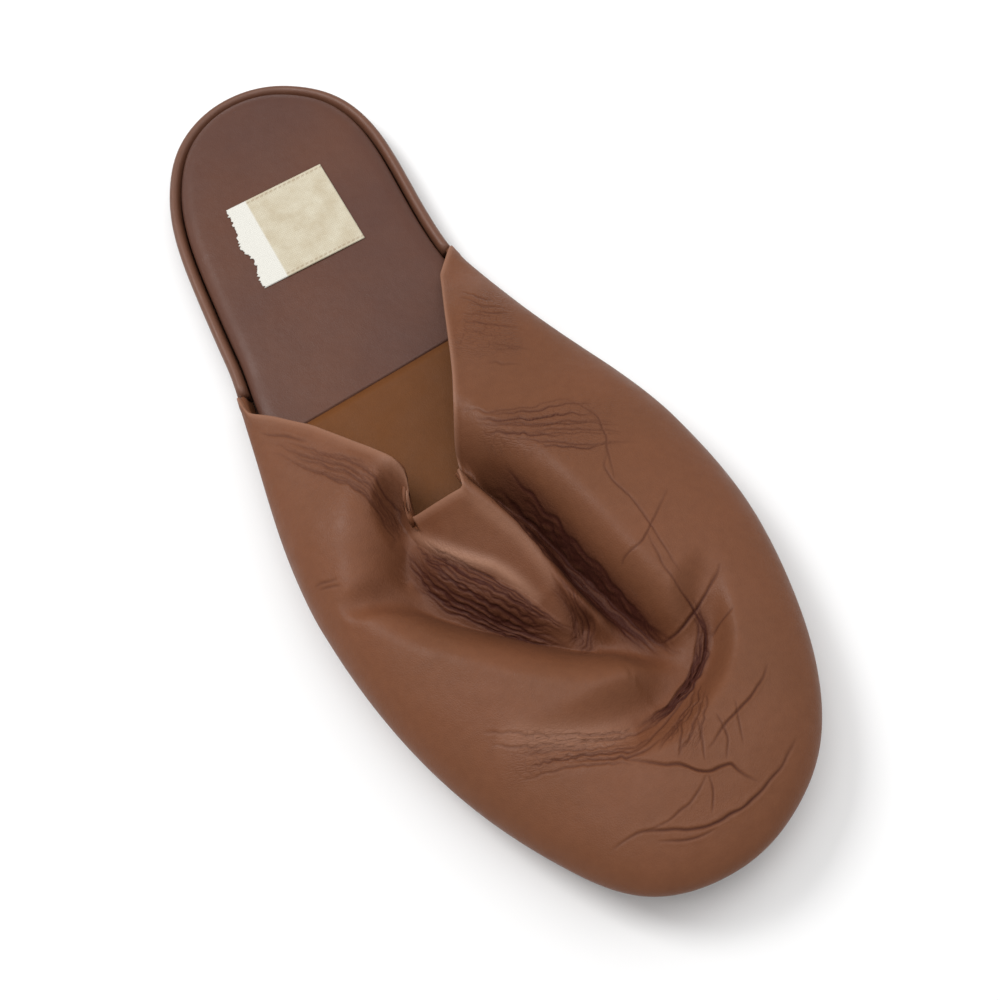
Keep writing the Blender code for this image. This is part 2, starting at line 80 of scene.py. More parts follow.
# %% [markdown]
# Everything hangs on the shoe's length, which the box gives, and on a few sizes of the last. Places on
# the shoe are shares: "along" of the length from the heel's back edge to the toe's tip, and "across" of
# the ball width from the long axis, positive towards the inner side. The toe points along -Y.

# %% Sizes of the last
LENGTH = cad_high.y - cad_low.y
HEEL_EDGE = cad_high.y
BALL_WIDTH = 0.110
HEEL_WIDTH = 0.072
INSTEP_HEIGHT = 0.020
TOE_SPRING = 0.004
ARCH_LIFT = 0.0015
OUTSOLE_THICKNESS = 0.003
INSOLE_THICKNESS = 0.002
HEEL_PAD_THICKNESS = 0.0055
FORE_SOCK_THICKNESS = 0.0026
SEAT_GAP = 0.0003
SIDE_GAP = 0.0005
UPPER_WALL = 0.0018
WALL_LEAN = 1.2
HEEL_OVERHANG = 0.0012
BALL_OVERHANG = 0.005
RAND_HEIGHT = 0.0060
SOCK_SEAM = 0.411
print("length in mm:", round(LENGTH / MM, 1))


def place(x, s, z):
    """World coordinates of plan points: x across, s from the heel's edge, z up."""
    return np.stack([x, HEEL_EDGE - s, z + 0 * x], axis=-1)


# %% [markdown]
# The camera looks from beyond the toe, down on the shoe and rolled, as the photograph was taken. Its three
# axes were fitted once to the outline of the sole. It keeps the photograph's distance, so the
# perspective is the same, and turns a little so that the one shoe stands in the middle.

# %% Camera
CAMERA_PLACE = Vector((-0.0566, HEEL_EDGE - 0.3456, 0.390))
CAMERA_RIGHT = Vector((0.8219, -0.5697, 0.0))
CAMERA_UP = Vector((0.5064, 0.7306, 0.4581))
CAMERA_BACK = Vector((-0.2610, -0.3765, 0.8889))
LENS = 58.0
AIM = Vector((0.0036, HEEL_EDGE - 0.1616, 0.001))


def make_camera():
    """The photograph's camera, swung by the small turn that brings the shoe to the middle."""
    camera = add_object("camera", bpy.data.cameras.new("camera"))
    bpy.context.scene.camera = camera
    camera.data.lens = LENS
    old_view = -CAMERA_BACK
    new_view = (AIM - CAMERA_PLACE).normalized()
    swing = old_view.rotation_difference(new_view).to_matrix()
    axes = [swing @ axis for axis in (CAMERA_RIGHT, CAMERA_UP, CAMERA_BACK)]
    camera.matrix_world = Matrix(axes).transposed().to_4x4()
    camera.location = CAMERA_PLACE
    return camera


make_camera()
print("camera lens", LENS, "mm, aimed at", [round(v, 3) for v in AIM])

# %% [markdown]
# Soft studio light: one broad lamp above the heel's outer side makes the folds read, a wide dim one
# fills from the inner side, a third hangs overhead, and a pale surround keeps the shadows open.

# %% Floor and lights
Lamp = namedtuple("Lamp", "name place size power")
LAMPS = [
    Lamp("key", (-0.42, 0.52, 1.00), 0.45, 7.2),
    Lamp("fill", (0.60, -0.10, 0.85), 0.80, 2.2),
    Lamp("top", (-0.05, -0.15, 1.30), 0.90, 5.5),
]
FLOOR_SIZE = 6.0
FLOOR_COLOUR = (0.86, 0.86, 0.86, 1)
FLOOR_ROUGHNESS = 0.9
SURROUND_STRENGTH = 0.52
LAMP_AIM = Vector((0.0, -0.08, 0.0))


def make_stage():
    """The pale floor, the lamps and the surround."""
    bm = bmesh.new()
    bmesh.ops.create_grid(bm, x_segments=1, y_segments=1, size=FLOOR_SIZE / 2)
    mesh = bpy.data.meshes.new("floor")
    bm.to_mesh(mesh)
    bm.free()
    floor = add_object("floor", mesh)
    paper, _, shader = new_material("paper floor")
    shader.inputs["Base Color"].default_value = FLOOR_COLOUR
    shader.inputs["Roughness"].default_value = FLOOR_ROUGHNESS
    mesh.materials.append(paper)
    for lamp in LAMPS:
        data = bpy.data.lights.new(lamp.name, "AREA")
        data.size = lamp.size
        data.energy = lamp.power
        light = add_object(lamp.name, data)
        light.location = lamp.place
        light.rotation_euler = (LAMP_AIM - light.location).to_track_quat("-Z", "Y").to_euler()
    world = bpy.data.worlds.new("surround")
    bpy.context.scene.world = world
    world.use_nodes = True
    background = world.node_tree.nodes["Background"]
    background.inputs["Color"].default_value = (1, 1, 1, 1)
    background.inputs["Strength"].default_value = SURROUND_STRENGTH
    bpy.context.scene.view_settings.view_transform = "Standard"


make_stage()
print(len(LAMPS), "lamps")

# %% [markdown]
# The outline of the last is the same short table that the solids were made from. A natural cubic goes
# through its rows, and stations run by an angle, 0 at the heel and pi at the toe, so that both ends come
# round. All helpers take whole arrays, because the leather needs about a hundred thousand points.

# %% Outline of the last
Outline = namedtuple("Outline", "along lateral medial")
OUTLINE = [
    Outline(0.000, 0.042, 0.042),
    Outline(0.010, -0.129, 0.219),
    Outline(0.030, -0.244, 0.333),
    Outline(0.060, -0.336, 0.432),
    Outline(0.100, -0.413, 0.492),
    Outline(0.160, -0.476, 0.506),
    Outline(0.220, -0.512, 0.484),
    Outline(0.300, -0.551, 0.458),
    Outline(0.360, -0.567, 0.457),
    Outline(0.420, -0.552, 0.446),
    Outline(0.500, -0.525, 0.450),
    Outline(0.580, -0.506, 0.467),
    Outline(0.650, -0.502, 0.487),
    Outline(0.720, -0.488, 0.492),
    Outline(0.800, -0.448, 0.461),
    Outline(0.870, -0.386, 0.405),
    Outline(0.920, -0.324, 0.339),
    Outline(0.960, -0.258, 0.250),
    Outline(0.985, -0.181, 0.147),
    Outline(1.000, -0.014, -0.014),
]
WAIST_START, WAIST_END = 0.30, 0.62
SPREAD_START, SPREAD_END = 0.33, 0.53
LATERAL, MEDIAL = -1.0, 1.0
ARCH_START, ARCH_END = 0.31, 0.52
TOE_START = 0.80
SLOPE_STEP = 0.001


def smooth(t):
    t = np.clip(t, 0.0, 1.0)
    return t * t * (3 - 2 * t)


def mix(a, b, t):
    return a + (b - a) * t


def spline(places, values):
    """A natural cubic through the given values, as a function of an array."""
    x = np.array(places, float)
    y = np.array(values, float)
    step = np.diff(x)
    rise = np.diff(y) / step
    matrix = np.eye(len(x))
    right = np.zeros(len(x))
    for i in range(1, len(x) - 1):
        matrix[i, i - 1 : i + 2] = step[i - 1], 2 * (step[i - 1] + step[i]), step[i]
        right[i] = 6 * (rise[i] - rise[i - 1])
    bend = np.linalg.solve(matrix, right)

    def value(at):
        i = np.clip(np.searchsorted(x, at) - 1, 0, len(step) - 1)
        a, b, h = x[i + 1] - at, at - x[i], step[i]
        line = (y[i] / h - bend[i] * h / 6) * a + (y[i + 1] / h - bend[i + 1] * h / 6) * b
        return line + (bend[i] * a**3 + bend[i + 1] * b**3) / (6 * h)

    return value


def softened(places, values, width):
    """Straight lines between the values with their corners rounded over a width, as a function."""
    spread = np.linspace(-1.5, 1.5, 13)
    weights = np.exp(-(spread**2))
    weights /= weights.sum()

    def value(at):
        return sum(w * np.interp(at + width * o, places, values) for w, o in zip(weights, spread))

    return value


def turn_of(along):
    return np.arccos(np.clip(1 - 2 * along, -1.0, 1.0))


def along_of(turn):
    return (1 - np.cos(turn)) / 2


TURNS = turn_of(np.array([row.along for row in OUTLINE]))
LATERAL_EDGE = spline(TURNS, [row.lateral for row in OUTLINE])
MEDIAL_EDGE = spline(TURNS, [row.medial for row in OUTLINE])


def outline(side, turn):
    """(x, distance from the heel) on the widest outline."""
    along = along_of(turn)
    width = mix(HEEL_WIDTH, BALL_WIDTH, smooth((along - WAIST_START) / (WAIST_END - WAIST_START)))
    share = np.where(side == LATERAL, LATERAL_EDGE(turn), MEDIAL_EDGE(turn))
    return share * width, along * LENGTH


def inset_point(side, turn, inset):
    """The outline's point moved inwards, square to the outline."""
    x0, s0 = outline(side, np.maximum(0.0, turn - SLOPE_STEP))
    x1, s1 = outline(side, np.minimum(math.pi, turn + SLOPE_STEP))
    at_tip = (turn <= 0) | (turn >= math.pi)
    ds = np.where(at_tip, 0.0, s1 - s0)
    run = np.hypot(x1 - x0, ds)
    x, s = outline(side, turn)
    return x - side * ds / run * inset, s + side * (x1 - x0) / run * inset


def turn_at_cut(side, inset, distance):
    """The station where the inset outline crosses the straight line at this distance from the heel."""
    turn = turn_of(distance / LENGTH)
    for _ in range(6):
        reached = inset_point(side, turn, inset)[1]
        turn = turn_of(along_of(turn) + (distance - reached) / LENGTH)
    return turn


def lift(s):
    """The sole's height over the floor: a low arch between two flats, and the toe's spring."""
    along = s / LENGTH
    arch = np.clip((along - ARCH_START) / (ARCH_END - ARCH_START), 0.0, 1.0)
    toe = np.clip((along - TOE_START) / (1 - TOE_START), 0.0, None)
    return ARCH_LIFT * np.sin(math.pi * arch) ** 2 + TOE_SPRING * toe**2


def overhang(along):
    """How far in the outsole's edge lies from the widest outline."""
    spread = smooth((along - SPREAD_START) / (SPREAD_END - SPREAD_START))
    return mix(HEEL_OVERHANG, BALL_OVERHANG, spread)


def bed_inset(along):
    """The edge of the footbed."""
    return overhang(along) + WALL_LEAN * UPPER_WALL + SIDE_GAP


INSOLE_BOTTOM = OUTSOLE_THICKNESS + SEAT_GAP
SOCK_BOTTOM = INSOLE_BOTTOM + INSOLE_THICKNESS + SEAT_GAP
BED_TOP = SOCK_BOTTOM + FORE_SOCK_THICKNESS
PAD_TOP = SOCK_BOTTOM + HEEL_PAD_THICKNESS
LOWEST_UPPER = BED_TOP + SEAT_GAP + UPPER_WALL
print("footbed at", round(BED_TOP / MM, 1), "mm, heel pad at", round(PAD_TOP / MM, 1), "mm")

# %% [markdown]
# Every piece here is a grid that is moved into place: bmesh makes the flat grid, and one function says
# where each of its points goes on the shoe. That keeps neat rows for the grain to follow, and the faces
# stay well shaped where loops are spaced closer.

# %% Grid helper
def mapped_grid(columns, rows, points):
    """A bmesh grid of columns x rows quads whose vertices go to points[column, row]."""
    bm = bmesh.new()
    bmesh.ops.create_grid(bm, x_segments=columns, y_segments=rows, size=1)
    for vert in bm.verts:
        column = round((vert.co.x + 1) / 2 * columns)
        row = round((vert.co.y + 1) / 2 * rows)
        vert.co = points[column, row]
    return bm


def finish_piece(name, bm, material, stands_for=(), turned_out=False):
    """Makes the bmesh an object that rides on the shoe, faces out, shaded smooth."""
    if not turned_out:
        bmesh.ops.recalc_face_normals(bm, faces=bm.faces)
    mesh = bpy.data.meshes.new(name)
    bm.to_mesh(mesh)
    bm.free()
    mesh.shade_smooth()
    mesh.materials.append(material)
    piece = add_object(name, mesh)
    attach(piece, "root")
    if stands_for:
        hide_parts(*stands_for)
    print(name, len(mesh.vertices), "vertices")
    return piece


# %% [markdown]
# Leather is one recipe with different numbers. Its colour drifts in broad soft patches. Folds get a
# darker, redder tone, which is painted shade and partly the darker colour of squeezed leather, and crests
# get a paler one, which is painted highlight and partly rubbed wear; two attributes on the mesh say where.
# The grain is small cells with fine lines between them, as bump. Folds are matt, crests shine, and slow
# noise breaks up the gloss in between. Bundles of wrinkles also get a net that is finer than the mesh.

# %% Leather material
Leather = namedtuple("Leather", "name base deep worn roughness grain grain_depth patch gloss net")


def add_node(tree, kind, **inputs):
    """A node with the given input values; keys use _ for a space."""
    node = tree.nodes.new(kind)
    for key, value in inputs.items():
        node.inputs[key.replace("_", " ")].default_value = value
    return node


def mix_colour(tree, factor, first, second):
    """Mixes two colours or sockets by a factor or socket, and returns the result's socket."""
    node = tree.nodes.new("ShaderNodeMix")
    node.data_type = "RGBA"
    for index, value in ((0, factor), (6, first), (7, second)):
        if isinstance(value, bpy.types.NodeSocket):
            tree.links.new(value, node.inputs[index])
        elif index == 0:
            node.inputs[0].default_value = value
        else:
            node.inputs[index].default_value = (*value, 1.0)
    return node.outputs[2]


def ramp(tree, source, low, high, out_low=0.0, out_high=1.0):
    """A clamped straight ramp from a socket."""
    node = tree.nodes.new("ShaderNodeMapRange")
    for index, value in enumerate((low, high, out_low, out_high), start=1):
        node.inputs[index].default_value = value
    tree.links.new(source, node.inputs[0])
    return node.outputs[0]


def bump(tree, height, distance, strength, below=None):
    node = add_node(tree, "ShaderNodeBump", Strength=strength, Distance=distance)
    tree.links.new(height, node.inputs["Height"])
    if below is not None:
        tree.links.new(below, node.inputs["Normal"])
    return node.outputs["Normal"]


def noise(tree, where, scale, detail=2.0, rough=0.5, socket="Fac"):
    node = add_node(tree, "ShaderNodeTexNoise", Scale=scale, Detail=detail, Roughness=rough)
    tree.links.new(where, node.inputs["Vector"])
    return node.outputs[socket]


def attribute(tree, name, socket="Fac"):
    """The socket of an attribute that the mesh carries."""
    node = tree.nodes.new("ShaderNodeAttribute")
    node.attribute_name = name
    return node.outputs[socket]


def maths(tree, operation, *values, kind="ShaderNodeMath"):
    """The result of a maths node whose inputs are sockets or numbers."""
    node = tree.nodes.new(kind)
    node.operation = operation
    for own, value in zip(node.inputs, values):
        if isinstance(value, bpy.types.NodeSocket):
            tree.links.new(value, own)
        else:
            own.default_value = value
    return node.outputs[0]


def cell_edges(tree, where, scale, dimensions="3D"):
    """How far each place lies from the edge of its cell."""
    node = add_node(tree, "ShaderNodeTexVoronoi", Scale=scale)
    node.feature = "DISTANCE_TO_EDGE"
    node.voronoi_dimensions = dimensions
    tree.links.new(where, node.inputs["Vector"])
    return node.outputs["Distance"]


print("shader helpers are ready")

# %% [markdown]
# Every leather is built the same way. Its colours are mixed by patches, specks, the painted shade of
# folds and the painted highlight of crests, which is partly wear, and its bumps are slow unevenness, then
# the grain, then the net of fine wrinkles on the upper only. The net's lines are darkened as painted shade.
# The net's cells are long along a bundle's wrinkles, which run the way that the flow attribute says.

# %% The leathers
PATCH_SCALE, SPECK_SCALE, GLOSS_SCALE, UNEVEN_SCALE = 28.0, 420.0, 150.0, 90.0
SPECK_SHARE = 0.12
UNEVEN_DEPTH = 0.0011
RELIEF_STRENGTH = 0.35
GRAIN_BEND = 0.6
PEBBLE_EDGE = 0.25
GLOSS_BELOW, GLOSS_ABOVE = 0.06, 0.08
MATT_IN_FOLDS = 0.25
RUBBED_SHINE = 0.10
NET_CELL = (0.42, 1.35, 1.0)
NET_BEND = (1.35, 0.45, 0.0)
NET_BEND_SCALE = 330.0
NET_DEPTH = 0.00014
NET_SLOPE = 0.30
NET_LINE = 0.10
NET_LINE_SHADE = 0.55


def net_of_wrinkles(tree, where, colour, look):
    """Fine broken wrinkles, long along the bundle and close across it, where the net attribute says, their
    lines darkened as painted shade.
    """
    net = attribute(tree, "net")
    bend = noise(tree, where, NET_BEND_SCALE, 3.0, socket="Color")
    bent = maths(tree, "MULTIPLY_ADD", bend, NET_BEND, attribute(tree, "flow", "Vector"),
                 kind="ShaderNodeVectorMath")
    scaled = add_node(tree, "ShaderNodeMapping", Scale=NET_CELL)
    tree.links.new(bent, scaled.inputs["Vector"])
    distance = cell_edges(tree, scaled.outputs[0], 1.0, "2D")
    height = maths(tree, "MULTIPLY", net, ramp(tree, distance, 0.0, NET_SLOPE))
    # Painted shade: the net's lines are darkened towards the deep tone.
    line = maths(tree, "MULTIPLY", net, ramp(tree, distance, 0.0, NET_LINE, NET_LINE_SHADE, 0.0))
    return mix_colour(tree, line, colour, look.deep), height


def leather_material(look):
    """Smooth dyed leather with grain cells, painted shade in folds and a painted highlight, partly wear, on
    crests.
    """
    material, tree, shader = new_material(look.name)
    where = tree.nodes.new("ShaderNodeTexCoord").outputs["Object"]
    fold, crest = attribute(tree, "fold"), attribute(tree, "crest")

    patches = ramp(tree, noise(tree, where, PATCH_SCALE, 3.0), 0.3, 0.7)
    specks = ramp(tree, noise(tree, where, SPECK_SCALE, 3.0, 0.6), 0.3, 0.7, 0.0, SPECK_SHARE)
    colour = mix_colour(tree, patches, look.base, look.patch)
    colour = mix_colour(tree, specks, colour, look.deep)
    # Painted shade: the fold attribute darkens the colour towards the deep tone, partly the darker colour of
    # squeezed leather.
    colour = mix_colour(tree, fold, colour, look.deep)
    # Painted highlight, partly rubbed wear: crests and the turned edge go paler towards the paler colour.
    colour = mix_colour(tree, crest, colour, look.worn)

    bend = noise(tree, where, look.grain * GRAIN_BEND, socket="Color")
    bent = maths(tree, "MULTIPLY_ADD", bend, (GRAIN_BEND / look.grain,) * 3, where,
                 kind="ShaderNodeVectorMath")
    pebble = ramp(tree, cell_edges(tree, bent, look.grain), 0.0, PEBBLE_EDGE)
    relief = bump(tree, noise(tree, where, UNEVEN_SCALE, 4.0, 0.55), UNEVEN_DEPTH, RELIEF_STRENGTH)
    relief = bump(tree, pebble, look.grain_depth, RELIEF_STRENGTH, relief)
    if look.net:
        colour, net_height = net_of_wrinkles(tree, where, colour, look)
        relief = bump(tree, net_height, NET_DEPTH, 1.0, relief)
    tree.links.new(colour, shader.inputs["Base Color"])
    tree.links.new(relief, shader.inputs["Normal"])

    uneven = ramp(tree, noise(tree, where, GLOSS_SCALE, 4.0, 0.6), 0.3, 0.7,
                  look.roughness - GLOSS_BELOW, look.roughness + GLOSS_ABOVE)
    matt = maths(tree, "MULTIPLY_ADD", fold, MATT_IN_FOLDS, uneven)
    rubbed = maths(tree, "MULTIPLY_ADD", crest, -RUBBED_SHINE, matt)
    tree.links.new(rubbed, shader.inputs["Roughness"])
    shader.inputs["Specular IOR Level"].default_value = look.gloss
    return material


UPPER_LEATHER = leather_material(Leather(
    "vamp leather", (0.172, 0.063, 0.029), (0.046, 0.010, 0.005), (0.330, 0.170, 0.110), 0.43, 1500.0,
    0.00007, (0.150, 0.057, 0.026), 0.17, True))
HEEL_LEATHER = leather_material(Leather(
    "heel sock leather", (0.112, 0.045, 0.027), (0.050, 0.020, 0.014), (0.150, 0.072, 0.048), 0.42, 1900.0,
    0.00005, (0.090, 0.039, 0.028), 0.22, False))
FORE_LEATHER = leather_material(Leather(
    "forefoot sock leather", (0.146, 0.050, 0.012), (0.075, 0.024, 0.006), (0.180, 0.074, 0.022), 0.55,
    1700.0, 0.00007, (0.122, 0.042, 0.011), 0.16, False))
RAND_LEATHER = leather_material(Leather(
    "rand leather", (0.150, 0.062, 0.034), (0.050, 0.018, 0.010), (0.230, 0.120, 0.080), 0.45, 1700.0,
    0.00006, (0.130, 0.052, 0.029), 0.42, False))
SOLE_LEATHER = leather_material(Leather(
    "sole suede", (0.075, 0.035, 0.021), (0.035, 0.016, 0.010), (0.110, 0.058, 0.038), 0.85, 2600.0,
    0.00010, (0.060, 0.028, 0.018), 0.20, False))
LINING_LEATHER = leather_material(Leather(
    "lining", (0.150, 0.068, 0.035), (0.070, 0.030, 0.016), (0.200, 0.105, 0.062), 0.80, 2600.0,
    0.00008, (0.125, 0.055, 0.029), 0.25, False))
BOARD = leather_material(Leather(
    "insole board", (0.200, 0.125, 0.065), (0.100, 0.060, 0.030), (0.260, 0.175, 0.100), 0.80, 2400.0,
    0.00006, (0.170, 0.105, 0.052), 0.25, False))
print("7 leathers")

# %% [markdown]
# The vamp starts as a dome over the footbed, worked out from sections: how high its side bulges out
# furthest, and the crown that each half rises to. Then each fold pulls the leather to its own height
# within its reach. A fold is a line of rows, so the valley beside the ridge, the ridge itself and the
# crescent over the toes are a table each. Most walls rise in a soft S. The ridge's outer side is partly
# straight, and the leather plumps up like a pillow at once beside the two troughs, on the side given by
# sign in PILLOW, so that their foot reads as a crease.

# %% Dome and folds
Section = namedtuple("Section", "along bulge lateral_crown medial_crown")
SECTIONS = [
    Section(0.300, 0.03, 0.24, 0.24),
    Section(0.356, 0.06, 0.30, 0.36),
    Section(0.400, 0.11, 0.31, 0.60),
    Section(0.438, 0.15, 0.43, 0.71),
    Section(0.467, 0.18, 0.57, 0.73),
    Section(0.500, 0.21, 0.71, 0.75),
    Section(0.534, 0.23, 0.86, 0.82),
    Section(0.588, 0.24, 0.93, 0.93),
    Section(0.640, 0.24, 0.98, 0.98),
    Section(0.713, 0.24, 0.97, 0.97),
    Section(0.784, 0.24, 0.90, 0.90),
    Section(0.841, 0.24, 0.84, 0.84),
    Section(1.000, 0.24, 0.84, 0.84),
]
Hem = namedtuple("Hem", "line along inward")
LATERAL_HEM = [
    Hem(0.00, 0.595, 0.00),
    Hem(0.30, 0.573, 0.300),
    Hem(0.40, 0.540, 0.200),
    Hem(0.44, 0.530, 0.215),
    Hem(0.54, 0.499, 0.31),
    Hem(0.64, 0.466, 0.44),
    Hem(0.74, 0.437, 0.56),
    Hem(0.86, 0.400, 0.78),
    Hem(0.94, 0.377, 0.95),
    Hem(1.00, 0.345, 1.00),
]
MEDIAL_HEM = [
    Hem(0.00, 0.595, 0.00),
    Hem(0.05, 0.562, 0.05),
    Hem(0.10, 0.536, 0.10),
    Hem(0.20, 0.511, 0.20),
    Hem(0.31, 0.481, 0.31),
    Hem(0.49, 0.429, 0.49),
    Hem(0.62, 0.391, 0.62),
    Hem(0.75, 0.354, 0.75),
    Hem(1.00, 0.316, 1.00),
]
Spine = namedtuple("Spine", "along across")
SPINE = [
    Spine(0.595, -0.060),
    Spine(0.620, -0.045),
    Spine(0.645, -0.024),
    Spine(0.670, -0.010),
    Spine(0.715, -0.010),
    Spine(0.770, -0.002),
    Spine(0.841, 0.000),
]
Fold = namedtuple("Fold", "along across height tilt core left right")
FOLDS = {
    "lateral trough": [
        Fold(0.573, -0.190, 0.22, 0, 0.010, 0.10, 0.15),
        Fold(0.606, -0.236, 0.17, 0, 0.018, 0.10, 0.16),
        Fold(0.641, -0.273, 0.14, 0, 0.018, 0.11, 0.13),
        Fold(0.684, -0.205, 0.11, 0, 0.014, 0.11, 0.13),
        Fold(0.720, -0.127, 0.09, 0, 0.010, 0.08, 0.13),
        Fold(0.759, -0.027, 0.09, 0, 0.010, 0.06, 0.13),
        Fold(0.787, 0.064, 0.11, 0, 0.010, 0.06, 0.12),
        Fold(0.816, 0.123, 0.20, 0, 0.010, 0.08, 0.08),
    ],
    "lateral crease": [
        Fold(0.641, -0.273, 0.16, 0, 0.005, 0.06, 0.06),
        Fold(0.634, -0.327, 0.33, 0, 0.005, 0.06, 0.06),
        Fold(0.630, -0.386, 0.52, 0, 0.004, 0.05, 0.05),
        Fold(0.628, -0.430, 0.58, 0, 0.002, 0.04, 0.04),
    ],
    "medial trough": [
        Fold(0.530, -0.050, 0.06, 0, 0.012, 0.13, 0.06),
        Fold(0.563, -0.030, 0.05, 0, 0.012, 0.13, 0.06),
        Fold(0.591, 0.000, 0.04, 0, 0.012, 0.13, 0.06),
        Fold(0.627, 0.028, 0.05, 0, 0.012, 0.13, 0.06),
        Fold(0.666, 0.048, 0.07, 0, 0.012, 0.12, 0.06),
        Fold(0.707, 0.065, 0.09, 0, 0.012, 0.12, 0.06),
        Fold(0.745, 0.084, 0.11, 0, 0.012, 0.11, 0.07),
        Fold(0.777, 0.099, 0.13, 0, 0.011, 0.11, 0.08),
        Fold(0.802, 0.114, 0.16, 0, 0.010, 0.10, 0.09),
        Fold(0.823, 0.127, 0.23, 0, 0.009, 0.09, 0.09),
    ],
    "toe crescent": [
        Fold(0.773, 0.318, 0.72, 0, 0.004, 0.05, 0.06),
        Fold(0.791, 0.261, 0.60, 0, 0.007, 0.06, 0.08),
        Fold(0.818, 0.209, 0.42, 0, 0.010, 0.07, 0.10),
        Fold(0.839, 0.142, 0.35, 0, 0.012, 0.08, 0.12),
        Fold(0.853, 0.051, 0.42, 0, 0.012, 0.09, 0.12),
        Fold(0.856, 0.006, 0.50, 0, 0.010, 0.09, 0.11),
        Fold(0.852, -0.090, 0.64, 0, 0.008, 0.08, 0.10),
        Fold(0.838, -0.220, 0.70, 0, 0.005, 0.06, 0.08),
    ],
    "ridge": [
        Fold(0.577, -0.135, 0.60, 0.78, 0.078, 0.062, 0.06),
        Fold(0.588, -0.132, 0.62, 0.76, 0.078, 0.062, 0.06),
        Fold(0.608, -0.118, 0.68, 0.62, 0.075, 0.062, 0.08),
        Fold(0.633, -0.093, 0.70, 0.46, 0.070, 0.062, 0.11),
        Fold(0.657, -0.066, 0.69, 0.34, 0.060, 0.062, 0.12),
        Fold(0.686, -0.041, 0.61, 0.22, 0.040, 0.060, 0.11),
        Fold(0.710, -0.033, 0.50, 0.14, 0.024, 0.058, 0.09),
        Fold(0.733, -0.023, 0.36, 0.04, 0.013, 0.055, 0.07),
        Fold(0.752, -0.006, 0.18, 0.00, 0.006, 0.055, 0.06),
    ],
}
SHARPNESS = {"ridge": 0.5}
PILLOW = {"lateral trough": -1, "medial trough": 1}
FOLD_STEPS = 8
SWING_RUN = 0.043
DOME_FULLNESS = 2.3
EDGE_FADE = 0.12


def route(alongs, acrosses, steps):
    """Plan points (x, s) on a smooth curve through given shares, and the row each lies at."""
    rows = np.arange(len(alongs))
    at = np.linspace(0, len(alongs) - 1, (len(alongs) - 1) * steps + 1)
    return spline(rows, acrosses)(at) * BALL_WIDTH, spline(rows, alongs)(at) * LENGTH, at


def nearest(path, x, s):
    """For each plan point its distance to the path, its signed side and the row it is nearest to."""
    px, ps, at = path
    best = np.full(x.shape, np.inf)
    side = np.zeros(x.shape)
    row = np.zeros(x.shape)
    for i in range(len(px) - 1):
        dx, ds = px[i + 1] - px[i], ps[i + 1] - ps[i]
        run = math.hypot(dx, ds)
        t = np.clip(((x - px[i]) * dx + (s - ps[i]) * ds) / run**2, 0.0, 1.0)
        off_x, off_s = x - px[i] - t * dx, s - ps[i] - t * ds
        distance = np.hypot(off_x, off_s)
        closer = distance < best
        best = np.where(closer, distance, best)
        side = np.where(closer, (off_x * ds - off_s * dx) / run, side)
        row = np.where(closer, mix(at[i], at[i + 1], t), row)
    return best, side, row


def within(path, x, s, room):
    """The indices of the plan points that lie near a path's box."""
    return np.flatnonzero((x > path[0].min() - room) & (x < path[0].max() + room)
                          & (s > path[1].min() - room) & (s < path[1].max() + room))


FOLD_PATHS = {name: route([row.along for row in rows], [row.across for row in rows], FOLD_STEPS)
              for name, rows in FOLDS.items()}


def apply_fold(name, x, s, z, edge):
    """Draws the height z towards the fold's own where the point lies within its reach."""
    rows, path = FOLDS[name], FOLD_PATHS[name]
    room = max(row.core + max(row.left, row.right) for row in rows) * BALL_WIDTH
    near = within(path, x, s, room)
    distance, side, at = nearest(path, x[near], s[near])
    index = np.arange(len(rows))
    shapes = [row[2:] for row in rows]
    height, tilt, core, left, right = (np.interp(at, index, column) for column in zip(*shapes))
    core = core * BALL_WIDTH
    reach = np.where(side > 0, left, right) * BALL_WIDTH
    nearness = np.clip(1 - (distance - core) / reach, 0.0, 1.0)
    sharp = SHARPNESS.get(name, 0.0)
    weight = mix(smooth(nearness), nearness, sharp * (side < 0)) * edge[near]
    if name in PILLOW:
        ending = smooth(1 - (len(rows) - 1 - at) / 2)
        weight = mix(weight, nearness ** 2, np.where(side * PILLOW[name] > 0, 1.0, ending))
    level = height + tilt / 2 * np.clip(side / core, -1.0, 1.0)
    target = lift(s[near]) + LOWEST_UPPER + level * INSTEP_HEIGHT
    z = z.copy()
    z[near] = mix(z[near], target, weight)
    return z


ALONGS = [row.along for row in SECTIONS]
BULGE = spline(ALONGS, [row.bulge for row in SECTIONS])
LATERAL_CROWN = spline(ALONGS, [row.lateral_crown for row in SECTIONS])
MEDIAL_CROWN = spline(ALONGS, [row.medial_crown for row in SECTIONS])
SPINE_SOFTNESS = 0.012
SPINE_ACROSS = softened([row.along for row in SPINE], [row.across for row in SPINE], SPINE_SOFTNESS)
HEM_SOFTNESS = 0.016


def hem_curves(rows):
    lines = [row.line for row in rows]
    return (
        softened(lines, [row.along for row in rows], HEM_SOFTNESS),
        softened(lines, [row.inward - row.line for row in rows], HEM_SOFTNESS),
    )


LATERAL_EDGE_LINE, LATERAL_SWING = hem_curves(LATERAL_HEM)
MEDIAL_EDGE_LINE, MEDIAL_SWING = hem_curves(MEDIAL_HEM)


def hem_along(side, line):
    return np.where(side == LATERAL, LATERAL_EDGE_LINE(line), MEDIAL_EDGE_LINE(line))


